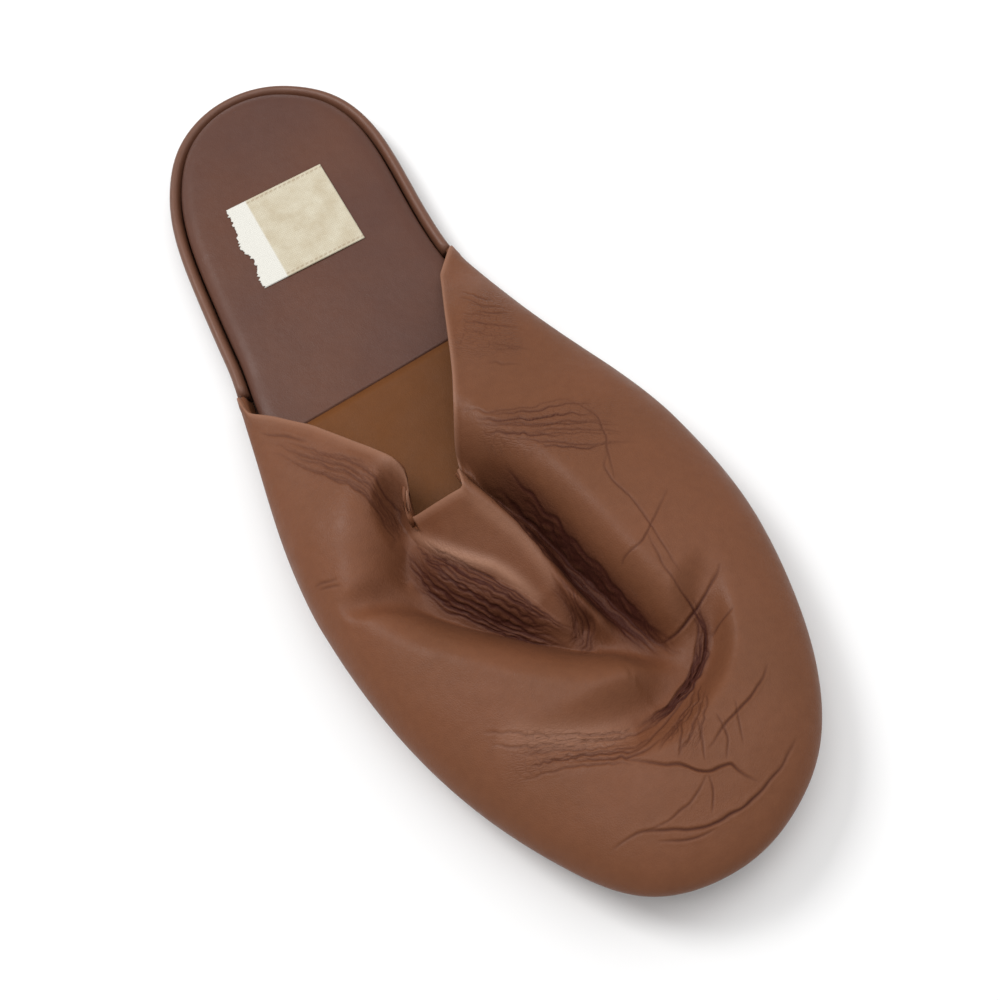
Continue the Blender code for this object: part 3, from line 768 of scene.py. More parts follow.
def vamp_plan(side, line, share):
    """Where a point of the vamp lies in plan: line is 1 on the bulge and 0 on the spine, share 0 at the
    collar and 1 at the toe. Returns x, s, the way in, the distances of outline and spine from the heel,
    the station and the run from the collar as a share of the length."""
    start = hem_along(side, line)
    turn = mix(turn_of(start), math.pi, share)
    run = along_of(turn) - start
    swing = np.where(side == LATERAL, LATERAL_SWING(line), MEDIAL_SWING(line)) * np.exp(-run / SWING_RUN)
    inward = line + swing
    x_out, s_out = outline(side, turn)
    s_spine = np.minimum(s_out, SPINE[-1].along * LENGTH)
    x_spine = SPINE_ACROSS(s_spine / LENGTH) * BALL_WIDTH
    return mix(x_spine, x_out, inward), mix(s_spine, s_out, inward), inward, s_out, s_spine, turn, run


def vamp_height(side, x, s, inward, s_out, s_spine):
    """The height with every fold at each plan point, and the plain dome's."""
    bulge = lift(s_out) + BED_TOP + BULGE(s_out / LENGTH) * INSTEP_HEIGHT
    along = s_spine / LENGTH
    crown_share = np.where(side == LATERAL, LATERAL_CROWN(along), MEDIAL_CROWN(along))
    crown = lift(s_spine) + LOWEST_UPPER + crown_share * INSTEP_HEIGHT
    dome = mix(bulge, crown, np.sqrt(np.clip(1 - inward**DOME_FULLNESS, 0.0, None)))
    edge = smooth((1 - inward) / EDGE_FADE)
    z = dome
    for name in FOLDS:
        z = apply_fold(name, x, s, z, edge)
    return z, dome


print(len(FOLDS), "folds")

# %% [markdown]
# The creases are thinner than the folds, so they are pressed into the skin along its own normals. Single
# creases are short routes. Where leather is squeezed it wrinkles in bundles, which lie between guide
# routes and share the room between them. Each crease is a narrow trough with a low lip on either side,
# it dies out at both ends, and a slow ripple keeps it from running straight.

# %% Creases
Crease = namedtuple("Crease", "depth width route")
CREASES = [
    Crease(0.20, 0.32, [(.634, .269), (.651, .234), (.679, .242), (.712, .245), (.744, .238), (.769, .236)]),
    Crease(0.17, 0.30, [(.560, .262), (.590, .300), (.612, .290), (.640, .262), (.668, .236)]),
    Crease(0.20, 0.30, [(.692, .332), (.712, .262), (.725, .208), (.727, .159), (.730, .141)]),
    Crease(0.17, 0.28, [(.721, .224), (.745, .215), (.771, .213), (.797, .220)]),
    Crease(0.30, 0.36, [(.776, .324), (.788, .283), (.797, .223), (.803, .181), (.803, .144), (.799, .120)]),
    Crease(0.28, 0.34, [(.773, .211), (.799, .220), (.818, .210)]),
    Crease(0.20, 0.30, [(.816, .294), (.819, .252), (.822, .215)]),
    Crease(0.36, 0.36, [(.879, -.103), (.897, -.052), (.914, .000), (.927, .030), (.929, .074), (.938, .086),
                        (.955, .110)]),
    Crease(0.20, 0.30, [(.855, .104), (.869, .013), (.882, -.084)]),
    Crease(0.20, 0.30, [(.867, .095), (.878, .036), (.890, -.039)]),
    Crease(0.18, 0.28, [(.869, .067), (.889, .027), (.904, -.005)]),
    Crease(0.16, 0.28, [(.879, .082), (.904, .055), (.918, .039)]),
    Crease(0.26, 0.32, [(.874, .276), (.890, .217), (.900, .125), (.911, .058)]),
    Crease(0.18, 0.28, [(.889, .115), (.910, .107), (.925, .075)]),
    Crease(0.16, 0.28, [(.887, .166), (.905, .145), (.923, .125)]),
    Crease(0.30, 0.36, [(.934, -.231), (.936, -.165), (.948, -.105), (.958, -.053), (.964, .006),
                        (.963, .072), (.959, .120), (.950, .185), (.938, .232)]),
    Crease(0.22, 0.30, [(.949, -.141), (.962, -.078), (.967, -.024)]),
    Crease(0.18, 0.28, [(.928, .028), (.936, -.020), (.941, -.082), (.939, -.153)]),
    Crease(0.17, 0.28, [(.928, .028), (.944, .012), (.955, -.011)]),
    Crease(0.15, 0.40, [(.585, -.465), (.591, -.440), (.597, -.415)]),
    Crease(0.14, 0.36, [(.592, -.460), (.598, -.436), (.604, -.412)]),
    Crease(0.17, 0.40, [(.405, -.385), (.420, -.352), (.436, -.323), (.451, -.299)]),
]
# A bundle's guides are routes with the same number of points. tone says how dark the painted shade
# between its creases is, which partly stands for the darker colour of squeezed leather, net how strong its
# fine broken wrinkles are, and cut how much of its length a crease may lose at its ends.
Bundle = namedtuple("Bundle", "name count depth width tone net cut guides")
BUNDLES = [
    Bundle("ridge flank", 19, 0.24, 0.29, 0.62, 0.50, 0.62, [
        [(.590, -.192), (.616, -.172), (.648, -.134), (.684, -.090), (.718, -.058), (.748, -.016)],
        [(.586, -.215), (.620, -.212), (.656, -.186), (.692, -.140), (.726, -.090), (.756, -.030)],
        [(.590, -.262), (.630, -.268), (.668, -.236), (.702, -.180), (.734, -.112), (.762, -.040)]]),
    Bundle("valley", 13, 0.28, 0.31, 0.88, 0.40, 0.35, [
        [(.560, -.040), (.600, -.024), (.640, -.008), (.680, .010), (.725, .034), (.775, .072), (.815, .105)],
        [(.556, .000), (.600, .026), (.640, .044), (.680, .058), (.730, .078), (.780, .104), (.820, .128)],
        [(.560, .044), (.605, .070), (.650, .088), (.690, .100), (.735, .116), (.785, .134), (.828, .150)]]),
    Bundle("round the ridge's nose", 6, 0.15, 0.29, 0.35, 0.4, 0.25, [
        [(.690, -.016), (.712, -.008), (.733, -.008), (.748, -.026), (.752, -.050)],
        [(.700, .022), (.728, .030), (.752, .024), (.768, -.006), (.770, -.045)]]),
    Bundle("inner vamp, across", 11, 0.26, 0.30, 0.10, 0.45, 0.5, [
        [(.512, .043), (.536, .102), (.550, .182), (.558, .254), (.574, .330)],
        [(.530, .038), (.560, .110), (.582, .182), (.600, .260), (.630, .360)],
        [(.548, .035), (.575, .096), (.600, .153), (.622, .224), (.650, .400)]]),
    Bundle("outer flap", 12, 0.17, 0.33, 0.16, 0.3, 0.5, [
        [(.416, -.370), (.463, -.300), (.499, -.232), (.526, -.205), (.554, -.196), (.575, -.215)],
        [(.430, -.390), (.485, -.330), (.525, -.280), (.555, -.255), (.580, -.255), (.600, -.275)]]),
    Bundle("over the toes", 12, 0.22, 0.32, 0.10, 0.5, 0.5, [
        [(.783, -.317), (.810, -.243), (.830, -.183), (.845, -.128), (.856, -.066), (.861, .008)],
        [(.812, -.335), (.830, -.262), (.842, -.195), (.856, -.136), (.868, -.070), (.868, .018)],
        [(.846, -.352), (.850, -.282), (.860, -.207), (.874, -.142), (.890, -.085), (.884, .020)]]),
    Bundle("crescent", 7, 0.30, 0.34, 0.62, 0.4, 0.3, [
        [(.786, .212), (.808, .206), (.828, .170), (.844, .112), (.854, .040), (.858, -.060)],
        [(.786, .240), (.814, .232), (.836, .188), (.852, .120), (.862, .040), (.866, -.050)]]),
    Bundle("radial", 8, 0.18, 0.28, 0.10, 0.4, 0.5, [
        [(.848, .135), (.862, .090), (.874, .020), (.884, -.060)],
        [(.858, .150), (.880, .110), (.900, .060), (.914, .010)]]),
    Bundle("inner corner", 10, 0.16, 0.34, 0.08, 0.6, 0.5, [
        [(.385, .225), (.410, .268), (.430, .330)],
        [(.420, .175), (.442, .230), (.456, .320)],
        [(.470, .115), (.490, .175), (.510, .260)]]),
]
WIGGLE_POINTS = 3
WIGGLE_ACROSS = 0.0034
WIGGLE_ALONG = 0.0012
PLACE_JITTER = 0.3
SHORTER_CUT = 0.35
DEPTH_SPREAD = (0.55, 1.15)
WIDTH_SPREAD = (0.85, 1.2)
FIRST_BUNDLE_SEED = 40
CREASE_STEPS = 4


def between(guides, share):
    """The route at this share of the way from the first guide to the last."""
    at = share * (len(guides) - 1)
    low = min(int(at), len(guides) - 2)
    return mix(np.array(guides[low]), np.array(guides[low + 1]), at - low)


def bundle_creases(bundle, seed):
    """The bundle's creases, each with its own start, end and slow drift across the bundle."""
    draw = np.random.default_rng(seed)
    made = []
    for k in range(bundle.count):
        share = (k + 0.5 + draw.uniform(-PLACE_JITTER, PLACE_JITTER)) / bundle.count
        drift = draw.uniform(-1.0, 1.0) / bundle.count
        first = between(bundle.guides, share)
        last = between(bundle.guides, np.clip(share + drift, 0, 1))
        points = mix(first, last, np.linspace(0, 1, len(first))[:, None])
        ends = draw.uniform(0.0, bundle.cut, 2)
        ends *= (len(points) - 1) * draw.permutation([1.0, SHORTER_CUT])
        at = np.linspace(ends[0], len(points) - 1 - ends[1], WIGGLE_POINTS * len(points))
        index = np.arange(len(points))
        wiggle = draw.uniform(-1, 1, (len(at), 2))
        alongs = np.interp(at, index, points[:, 0]) + WIGGLE_ALONG * wiggle[:, 0]
        acrosses = np.interp(at, index, points[:, 1]) + WIGGLE_ACROSS * wiggle[:, 1]
        depth = bundle.depth * draw.uniform(*DEPTH_SPREAD)
        width = bundle.width * draw.uniform(*WIDTH_SPREAD)
        made.append(Crease(depth, width, list(zip(alongs, acrosses))))
    return made


ALL_CREASES = CREASES + [crease for k, bundle in enumerate(BUNDLES)
                         for crease in bundle_creases(bundle, FIRST_BUNDLE_SEED + k)]
CREASE_PATHS = [route(*zip(*crease.route), CREASE_STEPS) for crease in ALL_CREASES]
print(len(ALL_CREASES), "creases")

# %% [markdown]
# A crease is a trough with a lip on each side, and slow ripples make it wander so that it doesn't look
# drawn. The same pass gives the dark line in each trough, which is painted shade. Each bundle's area gets
# its darker tone, painted shade that is partly squeezed leather's colour, and its net. The gap to the
# nearest crease will say where the vamp's sheet has to be finer.

# %% Troughs, lips and tone
RIPPLE_SIZE = 0.0032
RIPPLE_REACH = 0.00035
LATTICE = 96
LATTICE_START = (30.3, 7.7)
LIP_HEIGHT = 0.38
LIP_PLACE = 2.0
CREASE_ROOM = 5
GAP_ROOM = 0.002
LINE_NARROWNESS = 1.25
FULL_TONE_DEPTH = 0.30
BUNDLE_ROOM, BUNDLE_REACH, BUNDLE_FADE, BUNDLE_ENDS = 1.6, 1.35, 0.7, 0.25


def ripple_field(x, s, size, seed):
    """Smooth noise in plan, -1 to 1, from a seeded lattice."""
    lattice = np.random.default_rng(seed).uniform(-1, 1, (LATTICE, LATTICE))
    u, v = x / size + LATTICE_START[0], s / size + LATTICE_START[1]
    i, j = np.floor(u).astype(int), np.floor(v).astype(int)
    a, b = smooth(u - i), smooth(v - j)
    i, j = i % (LATTICE - 1), j % (LATTICE - 1)
    low = mix(lattice[i, j], lattice[i + 1, j], a)
    high = mix(lattice[i, j + 1], lattice[i + 1, j + 1], a)
    return mix(low, high, b)


def wandered(x, s):
    """Plan points moved by a slow ripple, so that what is drawn at them wanders."""
    return (x + RIPPLE_REACH * ripple_field(x, s, RIPPLE_SIZE, 3),
            s + RIPPLE_REACH * ripple_field(x, s, RIPPLE_SIZE, 4))


def crease_gap(x, s):
    """The distance from each plan point to the nearest crease."""
    x, s = wandered(x, s)
    gap = np.full(x.shape, np.inf)
    for path in CREASE_PATHS:
        near = within(path, x, s, GAP_ROOM)
        if len(near):
            gap[near] = np.minimum(gap[near], nearest(path, x[near], s[near])[0])
    return gap


def dying(at, path, power):
    """1 along most of a path, falling to 0 at both of its ends."""
    return np.sin(math.pi * np.clip(at / path[2][-1], 0.0, 1.0)) ** power


def creased(x, s):
    """The push along the normal in metres, and the painted shade of the dark line in each trough, of all
    creases at the given plan points.
    """
    x, s = wandered(x, s)
    push, tone = np.zeros(x.shape), np.zeros(x.shape)
    for crease, path in zip(ALL_CREASES, CREASE_PATHS):
        near = within(path, x, s, CREASE_ROOM * crease.width * MM)
        if not len(near):
            continue
        distance, _, at = nearest(path, x[near], s[near])
        across = distance / (crease.width * MM)
        dies = dying(at, path, 0.6)
        trough = np.exp(-(across**2))
        lip = LIP_HEIGHT * np.exp(-((across - LIP_PLACE) ** 2))
        push[near] += crease.depth * dies * (lip - trough)
        # Painted shade: the dark line along the bottom of each crease's trough.
        line = np.exp(-((LINE_NARROWNESS * across) ** 2))
        tone[near] = np.maximum(tone[near], dies * line * min(1.0, crease.depth / FULL_TONE_DEPTH))
    return push * MM, tone


def squeezed(x, s):
    """For each plan point: how dark the painted shade over the bundle is, partly squeezed leather's colour,
    how strong its fine net of wrinkles, and the place along and across the bundle, in mm, that the net is
    drawn on."""
    tone, net, flow = np.zeros(x.shape), np.zeros(x.shape), np.zeros((len(x), 3))
    strongest = np.zeros(x.shape)
    for bundle in BUNDLES:
        low, middle, high = (route(*zip(*between(bundle.guides, share)), CREASE_STEPS)
                             for share in (0.0, 0.5, 1.0))
        half = np.hypot(low[0] - high[0], low[1] - high[1]) / 2
        near = within(middle, x, s, BUNDLE_ROOM * half.max())
        distance, side, at = nearest(middle, x[near], s[near])
        share = distance / np.interp(at, middle[2], half)
        ends = np.clip(at / middle[2][-1], 0.0, 1.0)
        fade = smooth((BUNDLE_REACH - share) / BUNDLE_FADE)
        fade = fade * smooth(np.minimum(ends, 1 - ends) / BUNDLE_ENDS)
        tone[near] = np.maximum(tone[near], fade * bundle.tone)
        run = np.concatenate([[0.0], np.cumsum(np.hypot(np.diff(middle[0]), np.diff(middle[1])))])
        stronger = fade > strongest[near]
        strongest[near] = np.where(stronger, fade, strongest[near])
        net[near] = np.where(stronger, fade * bundle.net, net[near])
        own = np.stack([np.interp(at, middle[2], run), side, 0 * at], axis=-1) / MM
        flow[near] = np.where(stronger[:, None], own, flow[near])
    return tone, net, flow


print("deepest crease", round(max(crease.depth for crease in ALL_CREASES), 2), "mm")

# %% [markdown]
# The skin is one sheet with its own two directions: u from the collar to the toe, and v from the outer
# side over the ridge to the inner side. Past the two bulges it tucks under the foot. Here one function
# says where each point of the smooth skin lies, and how deep the folds press it, which the colour uses.

# %% Vamp surface
Skin = namedtuple("Skin", "points x s depth run on_top")
ROW_BIAS = 0.55
NORMAL_STEP_U = 0.001
NORMAL_STEP_V = 0.002
TOP_EDGE, TOP_FADE = 0.97, 0.06


def skin(u, v):
    """The smooth outer face. v is -1 and 1 on the two bulges; past them the skin tucks under the foot."""
    side = np.where(v < 0, LATERAL, MEDIAL)
    away = np.abs(v)
    t = np.minimum(away, 1.0)
    line = np.sin(math.pi / 2 * t * (ROW_BIAS + (1 - ROW_BIAS) * t))
    x, s, inward, s_out, s_spine, turn, run = vamp_plan(side, line, u)
    z, dome = vamp_height(side, x, s, inward, s_out, s_spine)
    along = along_of(turn)
    tuck = np.clip(away - 1.0, 0.0, 1.0)
    tuck_x, tuck_s = inset_point(side, turn, tuck * overhang(along))
    high = lift(tuck_s) + BED_TOP + BULGE(along) * INSTEP_HEIGHT
    low = lift(tuck_s) + OUTSOLE_THICKNESS + SEAT_GAP
    under = tuck > 0
    depth = np.where(under, 0.0, dome - z)
    z = np.where(under, mix(high, low, np.sqrt(tuck)), z)
    x, s = np.where(under, tuck_x, x), np.where(under, tuck_s, s)
    on_top = smooth((TOP_EDGE - inward) / TOP_FADE) * ~under
    return Skin(place(x, s, z), x, s, depth, run * LENGTH, on_top)


def unit(vectors):
    """Each vector at length one; one without a length points up."""
    length = np.linalg.norm(vectors, axis=-1, keepdims=True)
    return np.where(length > 1e-15, vectors / np.maximum(length, 1e-15), np.array([0.0, 0.0, 1.0]))


def skin_normals(u, v):
    """Outward normals from small steps in both directions."""
    ahead, behind = skin(np.minimum(u + NORMAL_STEP_U, 1.0), v), skin(np.maximum(u - NORMAL_STEP_U, 0.0), v)
    inner, outer = skin(u, np.minimum(v + NORMAL_STEP_V, 2.0)), skin(u, np.maximum(v - NORMAL_STEP_V, -2.0))
    return unit(np.cross(ahead.points - behind.points, inner.points - outer.points))


def toe_joined(u, v, normal):
    """Where the two halves meet at the toe's middle line, both take the mean of their normals."""
    ends = u > 1 - 1e-9
    normal = normal.copy()
    normal[ends] = unit(normal[ends] + skin_normals(u[ends], -v[ends]))
    return normal


spine = skin(np.linspace(0, 1, 50), np.zeros(50)).points
print("highest point of the spine", round(float(spine[:, 2].max()) / MM, 1), "mm")

# %% [markdown]
# The collar's edge is turned in and stitched, so it is thicker than the rest, with a round bead. The
# vamp's sheet curls round the outer half of its thickness and the lining's round the inner half. The
# curl needs the collar's own directions, softened along it, or it would tear at the tight corners.

# %% Turned edge
HEM_RUN = 0.0055
HEM_SLOPE = 0.45
HEM_SAMPLES = 1600
HEM_SOFTEN = 14
HEM_THICKNESS = 0.0023
HEM_LIFT = 0.00022
CURL_COLUMNS = 7
TURNED_UNDER = 0.0016
LOOK_AHEAD = 0.012


def soften_rows(values, spread):
    """Rows averaged with their neighbours by a bell of this many rows."""
    reach = np.arange(-3 * spread, 3 * spread + 1)
    bell = np.exp(-((reach / spread) ** 2))
    padded = np.pad(values, ((3 * spread, 3 * spread), (0, 0)), mode="edge")
    return np.stack([np.convolve(column, bell / bell.sum(), "valid") for column in padded.T], axis=1)


def hem_step(run):
    """The turned edge is a little thicker; this is 1 on it and 0 past it."""
    return smooth((HEM_RUN - run) / (HEM_SLOPE * HEM_RUN))


def hem_frames(offset):
    """Along the collar: where the sheet's edge lies, its normal and the direction away from the edge."""
    v = np.linspace(-2.0, 2.0, HEM_SAMPLES)
    start = np.zeros_like(v)
    normal = unit(soften_rows(skin_normals(start, v), HEM_SOFTEN))
    line = skin(start, v).points
    edge = line + offset * normal
    forward = soften_rows(unit(skin(start + LOOK_AHEAD, v).points - line), HEM_SOFTEN)
    forward = unit(forward - normal * (forward * normal).sum(-1, keepdims=True))
    return v, edge, normal, forward


def along_hem(frames, which, v):
    """The rows of one of the collar's tables at these v."""
    return np.stack([np.interp(v, frames[0], frames[which][:, k]) for k in range(3)], axis=-1)


def turned_edge(frames, step, v, side):
    """Points of the curl: step 0 is the sheet's edge, each further step goes on round the bead."""
    edge, normal, forward = (along_hem(frames, which, v) for which in (1, 2, 3))
    radius = HEM_THICKNESS / 4
    round_steps = CURL_COLUMNS - 1
    angle = (math.pi * np.minimum(step, round_steps) / round_steps)[:, None]
    back = TURNED_UNDER * np.maximum(step - round_steps, 0)[:, None]
    sunk = side * radius * (1 - np.cos(angle))
    return edge - normal * sunk - forward * (radius * np.sin(angle) - back)


collar = skin(np.zeros(HEM_SAMPLES), np.linspace(-1, 1, HEM_SAMPLES)).points
print("collar", round(float(np.linalg.norm(np.diff(collar, axis=0), axis=1).sum()) / MM), "mm long")

# %% [markdown]
# The vamp itself begins as a flat grid of u and v. Near the creases it is subdivided twice, so that they
# are real troughs under a millimetre across, and smooth leather is left coarse. Only then does every
# point go to its place on the shoe and get its four attributes: fold is the dark tone, painted shade that
# is partly squeezed leather's colour, net and flow draw the fine wrinkles, and crest is the paler tone, a
# painted highlight that is partly rubbed wear.

# %% Upper
COLUMNS = 160
HALF_ROWS = 56
TUCK_ROWS = 5
REFINEMENTS = [0.0011, 0.00042]
TOE_JOIN = 2e-6


def flat_sheet(columns, half_rows, tuck_rows):
    """A flat grid whose x is u, with the curl's columns below 0, and whose y is v."""
    bm = bmesh.new()
    across, rows = CURL_COLUMNS + columns, half_rows + tuck_rows
    bmesh.ops.create_grid(bm, x_segments=across, y_segments=2 * rows, size=1)
    for vert in bm.verts:
        column = round((vert.co.x + 1) / 2 * across) - CURL_COLUMNS
        row = round((vert.co.y + 1) * rows) - rows
        v = min(abs(row), half_rows) / half_rows + max(0, abs(row) - half_rows) / tuck_rows
        vert.co = (column / columns, math.copysign(v, row), 0)
    return bm


def sheet_places(bm):
    flat = np.array([vert.co[:2] for vert in bm.verts])
    return flat[:, 0], flat[:, 1]


def refine(bm, reach):
    """Cuts the faces that lie within reach of a crease into four."""
    u, v = sheet_places(bm)
    face_of = skin(np.clip(u, 0.0, 1.0), v)
    gap = np.where((u >= 0) & (face_of.on_top > 0), crease_gap(face_of.x, face_of.s), np.inf)
    bm.verts.index_update()
    edges = {edge for face in bm.faces if min(gap[vert.index] for vert in face.verts) < reach
             and min(vert.co.x for vert in face.verts) > -1e-9 for edge in face.edges}
    bmesh.ops.subdivide_edges(bm, edges=list(edges), cuts=1, use_grid_fill=True)


def make_sheet(name, bm, places, attributes, material, stands_for=(), faces_up=True):
    """Moves the flat sheet's points to their places, joins the halves at the toe, and finishes the piece."""
    layers = {key: bm.verts.layers.float.new(key) for key, values in attributes.items() if values.ndim == 1}
    layers |= {key: bm.verts.layers.float_vector.new(key) for key, values in attributes.items()
               if values.ndim == 2}
    for index, vert in enumerate(bm.verts):
        vert.co = places[index]
        for key, layer in layers.items():
            vert[layer] = attributes[key][index]
    bmesh.ops.remove_doubles(bm, verts=bm.verts, dist=TOE_JOIN)
    bm.normal_update()
    if (sum(face.normal.z * face.calc_area() for face in bm.faces) > 0) != faces_up:
        bmesh.ops.reverse_faces(bm, faces=bm.faces)
    triangles = sum(len(face.verts) - 2 for face in bm.faces)
    print(name, triangles, "triangles")
    return finish_piece(name, bm, material, stands_for, turned_out=True)


def crest_tone(x, s, run, crests, edge=0.0):
    """Bands along the given crests, and along the turned edge with the given strength."""
    worn = edge * smooth(1 - run / SHEEN_AND_WEAR_WIDTH)
    for points, width, strength in crests:
        path = route(*zip(*points), CREASE_STEPS)
        near = within(path, x, s, 4 * width)
        distance, _, at = nearest(path, x[near], s[near])
        band = dying(at, path, 0.5) * np.exp(-((distance / width) ** 2))
        worn[near] = np.maximum(worn[near], strength * band)
    return worn


# Each crest gets a paler band, a painted highlight that is partly rubbed wear; the ridge's crest also swells
# into a low roll.
Crest = namedtuple("Crest", "route width strength")
RIDGE_CREST = Crest([(.580, -.205), (.602, -.188), (.625, -.158), (.646, -.127), (.666, -.092), (.690, -.067),
                     (.714, -.047)], 0.0014, 0.85)
CRESTS = [
    RIDGE_CREST,
    Crest([(.595, -.058), (.617, -.048), (.646, -.023), (.668, -.009), (.692, -.005), (.712, -.014)],
          0.0016, 0.35),
    Crest([(.800, -.300), (.824, -.225), (.840, -.160), (.853, -.100), (.860, -.040)], 0.0035, 0.45),
]
ROLL_HEIGHT = 0.0007
SHEEN_AND_WEAR_EDGE, SHEEN_AND_WEAR_WIDTH = 0.5, 0.0022
Swell = namedtuple("Swell", "size height seed")
SWELLS = [Swell(0.014, 0.00016, 21), Swell(0.0055, 0.00005, 22)]
FLAT_AT_EDGE = 0.004
# The fold tone is painted shade: the dark line in each crease, the bundles' darker skin, partly squeezed
# leather, and the depth of each fold's trough.
CREASE_LINE_SHADE, SQUEEZE_SHADE_TONE, DEPTH_SHADE_TONE = 0.95, 0.6, 0.20
FULL_SHADE_DEPTH = 0.7


def on_the_shoe(bm):
    """The sheet's u and v, and the skin's places and normals there."""
    u, v = sheet_places(bm)
    on_shoe = np.maximum(u, 0.0)
    return u, v, skin(on_shoe, v), toe_joined(on_shoe, v, skin_normals(on_shoe, v))


def make_vamp():
    bm = flat_sheet(COLUMNS, HALF_ROWS, TUCK_ROWS)
    for reach in REFINEMENTS:
        refine(bm, reach)
    u, v, face, normal = on_the_shoe(bm)
    push, tone = creased(face.x, face.s)
    for swell in SWELLS:
        push = push + swell.height * ripple_field(face.x, face.s, swell.size, swell.seed)
    push = push + ROLL_HEIGHT * crest_tone(face.x, face.s, face.run, [RIDGE_CREST])
    push = push * face.on_top * smooth(face.run / FLAT_AT_EDGE) + HEM_LIFT * hem_step(face.run)
    points = face.points + normal * push[:, None]
    curled = u < 0
    points[curled] = turned_edge(hem_frames(HEM_LIFT), -u[curled] * COLUMNS, v[curled], 1.0)
    # The bundles' tone is painted shade, partly the darker colour of squeezed leather.
    bundle_shade, net, flow = squeezed(face.x, face.s)
    # Painted shade that grows with how deep the folds press the skin below the dome.
    depth_shade = smooth(face.depth / (FULL_SHADE_DEPTH * INSTEP_HEIGHT))
    on = face.on_top * (u >= 0)
    fold = np.clip(CREASE_LINE_SHADE * tone + SQUEEZE_SHADE_TONE * bundle_shade + DEPTH_SHADE_TONE * depth_shade, 0.0, 1.0) * on
    # Painted highlight, partly rubbed wear, along the crests and the turned edge.
    crest = crest_tone(face.x, face.s, face.run, CRESTS, SHEEN_AND_WEAR_EDGE)
    values = {"fold": fold, "net": net * on, "flow": flow, "crest": crest}
    return make_sheet("vamp", bm, points, values, UPPER_LEATHER, ("upper",))


make_vamp()

# %% [markdown]
# The lining is the same sheet, coarser and without creases, one wall's thickness further in. Close to the
# collar it wears the vamp's own leather, which is turned in there, and its faces look down.

# %% Lining
LINING_COLUMNS = 120
LINING_HALF_ROWS = 56
TURNED_LEATHER = 0.008


def make_lining():
    bm = flat_sheet(LINING_COLUMNS, LINING_HALF_ROWS, TUCK_ROWS)
    u, v, face, normal = on_the_shoe(bm)
    frames = hem_frames(HEM_LIFT - HEM_THICKNESS)
    near = smooth(1 - face.run / TURNED_LEATHER)[:, None]
    normal = unit(mix(normal, along_hem(frames, 2, v), near))
    wall = UPPER_WALL + (HEM_THICKNESS - HEM_LIFT - UPPER_WALL) * hem_step(face.run)
    points = face.points - normal * wall[:, None]
    curled = u < 0
    points[curled] = turned_edge(frames, -u[curled] * LINING_COLUMNS, v[curled], -1.0)
    bm.verts.index_update()
    for polygon in bm.faces:
        if max(face.run[vert.index] for vert in polygon.verts) < TURNED_LEATHER:
            polygon.material_index = 1
    lining = make_sheet("vamp_lining", bm, points, {"fold": 0 * u}, LINING_LEATHER,
                        faces_up=False)
    lining.data.materials.append(UPPER_LEATHER)


make_lining()

# %% [markdown]
# The sole and the footbed are plates that follow the outline. An edge profile, from the floor side to
# the top, rounds them, and straight cuts end the two socks at their seam.

# %% Plates
Edge = namedtuple("Edge", "inset height")
STATIONS = 110
CROSSING = 22
PLATE_JOIN = 1e-6


def plate_grid(inset, thickness, profile, base, top, start=None, end=None, crown=None):
    """Points of a closed plate, as a tube of rows round its section."""
    rows = len(profile)
    share = np.linspace(0.0, 1.0, STATIONS + 1)

    def edge(side, row):
        own = profile[row].inset * thickness
        turn = math.pi * share
        if start is not None:
            turn = np.maximum(turn, turn_at_cut(side, inset(start / LENGTH) + own, start))
        if end is not None:
            turn = np.minimum(turn, turn_at_cut(side, inset(end / LENGTH) + own, end))
        x, s = inset_point(side, turn, inset(along_of(turn)) + own)
        return place(x, s, mix(base(s), top(s), profile[row].height))

    lateral = [edge(LATERAL, row) for row in range(rows)]
    medial = [edge(MEDIAL, row) for row in range(rows)]
    across = np.linspace(0.0, 1.0, CROSSING + 1)[1:-1]
    over = [mix(lateral[-1], medial[-1], t) for t in across]
    under = [mix(medial[0], lateral[0], t) for t in across]
    if crown is not None:
        for t, row in zip(across, over):
            row[:, 2] += crown(row[:, 0], HEEL_EDGE - row[:, 1], t)
    loop = lateral + over + medial[::-1] + under
    return np.stack(loop + [loop[0]], axis=1)


def make_plate(name, grid, material, stands_for):
    bm = mapped_grid(grid.shape[0] - 1, grid.shape[1] - 1, grid)
    bmesh.ops.remove_doubles(bm, verts=bm.verts, dist=PLATE_JOIN)
    open_edges = [edge for edge in bm.edges if edge.is_boundary]
    if open_edges:
        bmesh.ops.holes_fill(bm, edges=open_edges, sides=0)
    return finish_piece(name, bm, material, stands_for)


def arc_profile(inset, low, high, steps):
    """Rows that round a top edge as a quarter of an ellipse."""
    angles = np.linspace(0, math.pi / 2, steps)
    return [Edge(inset * (1 - math.cos(a)), mix(low, high, math.sin(a))) for a in angles]


sole_grid = plate_grid(
    overhang, OUTSOLE_THICKNESS,
    [Edge(0.4, 0.0), Edge(0.2, 0.04), Edge(0.08, 0.12), Edge(0.0, 0.3),
     Edge(0.0, 0.85), Edge(0.06, 0.95), Edge(0.2, 1.0)],
    lift, lambda s: lift(s) + OUTSOLE_THICKNESS)
make_plate("sole", sole_grid, SOLE_LEATHER, ("outsole",))

PAD_THINS_FROM = 0.29
HOLLOW_DEPTH, HOLLOW_ALONG, HOLLOW_LENGTH, HOLLOW_WIDTH = 0.0005, 0.15, 0.09, 0.28
PAD_SWELL = Swell(0.011, 0.00012, 9)


def pad_top(s):
    thinned = mix(PAD_TOP, BED_TOP, smooth((s / LENGTH - PAD_THINS_FROM) / (SOCK_SEAM - PAD_THINS_FROM)))
    return lift(s) + thinned


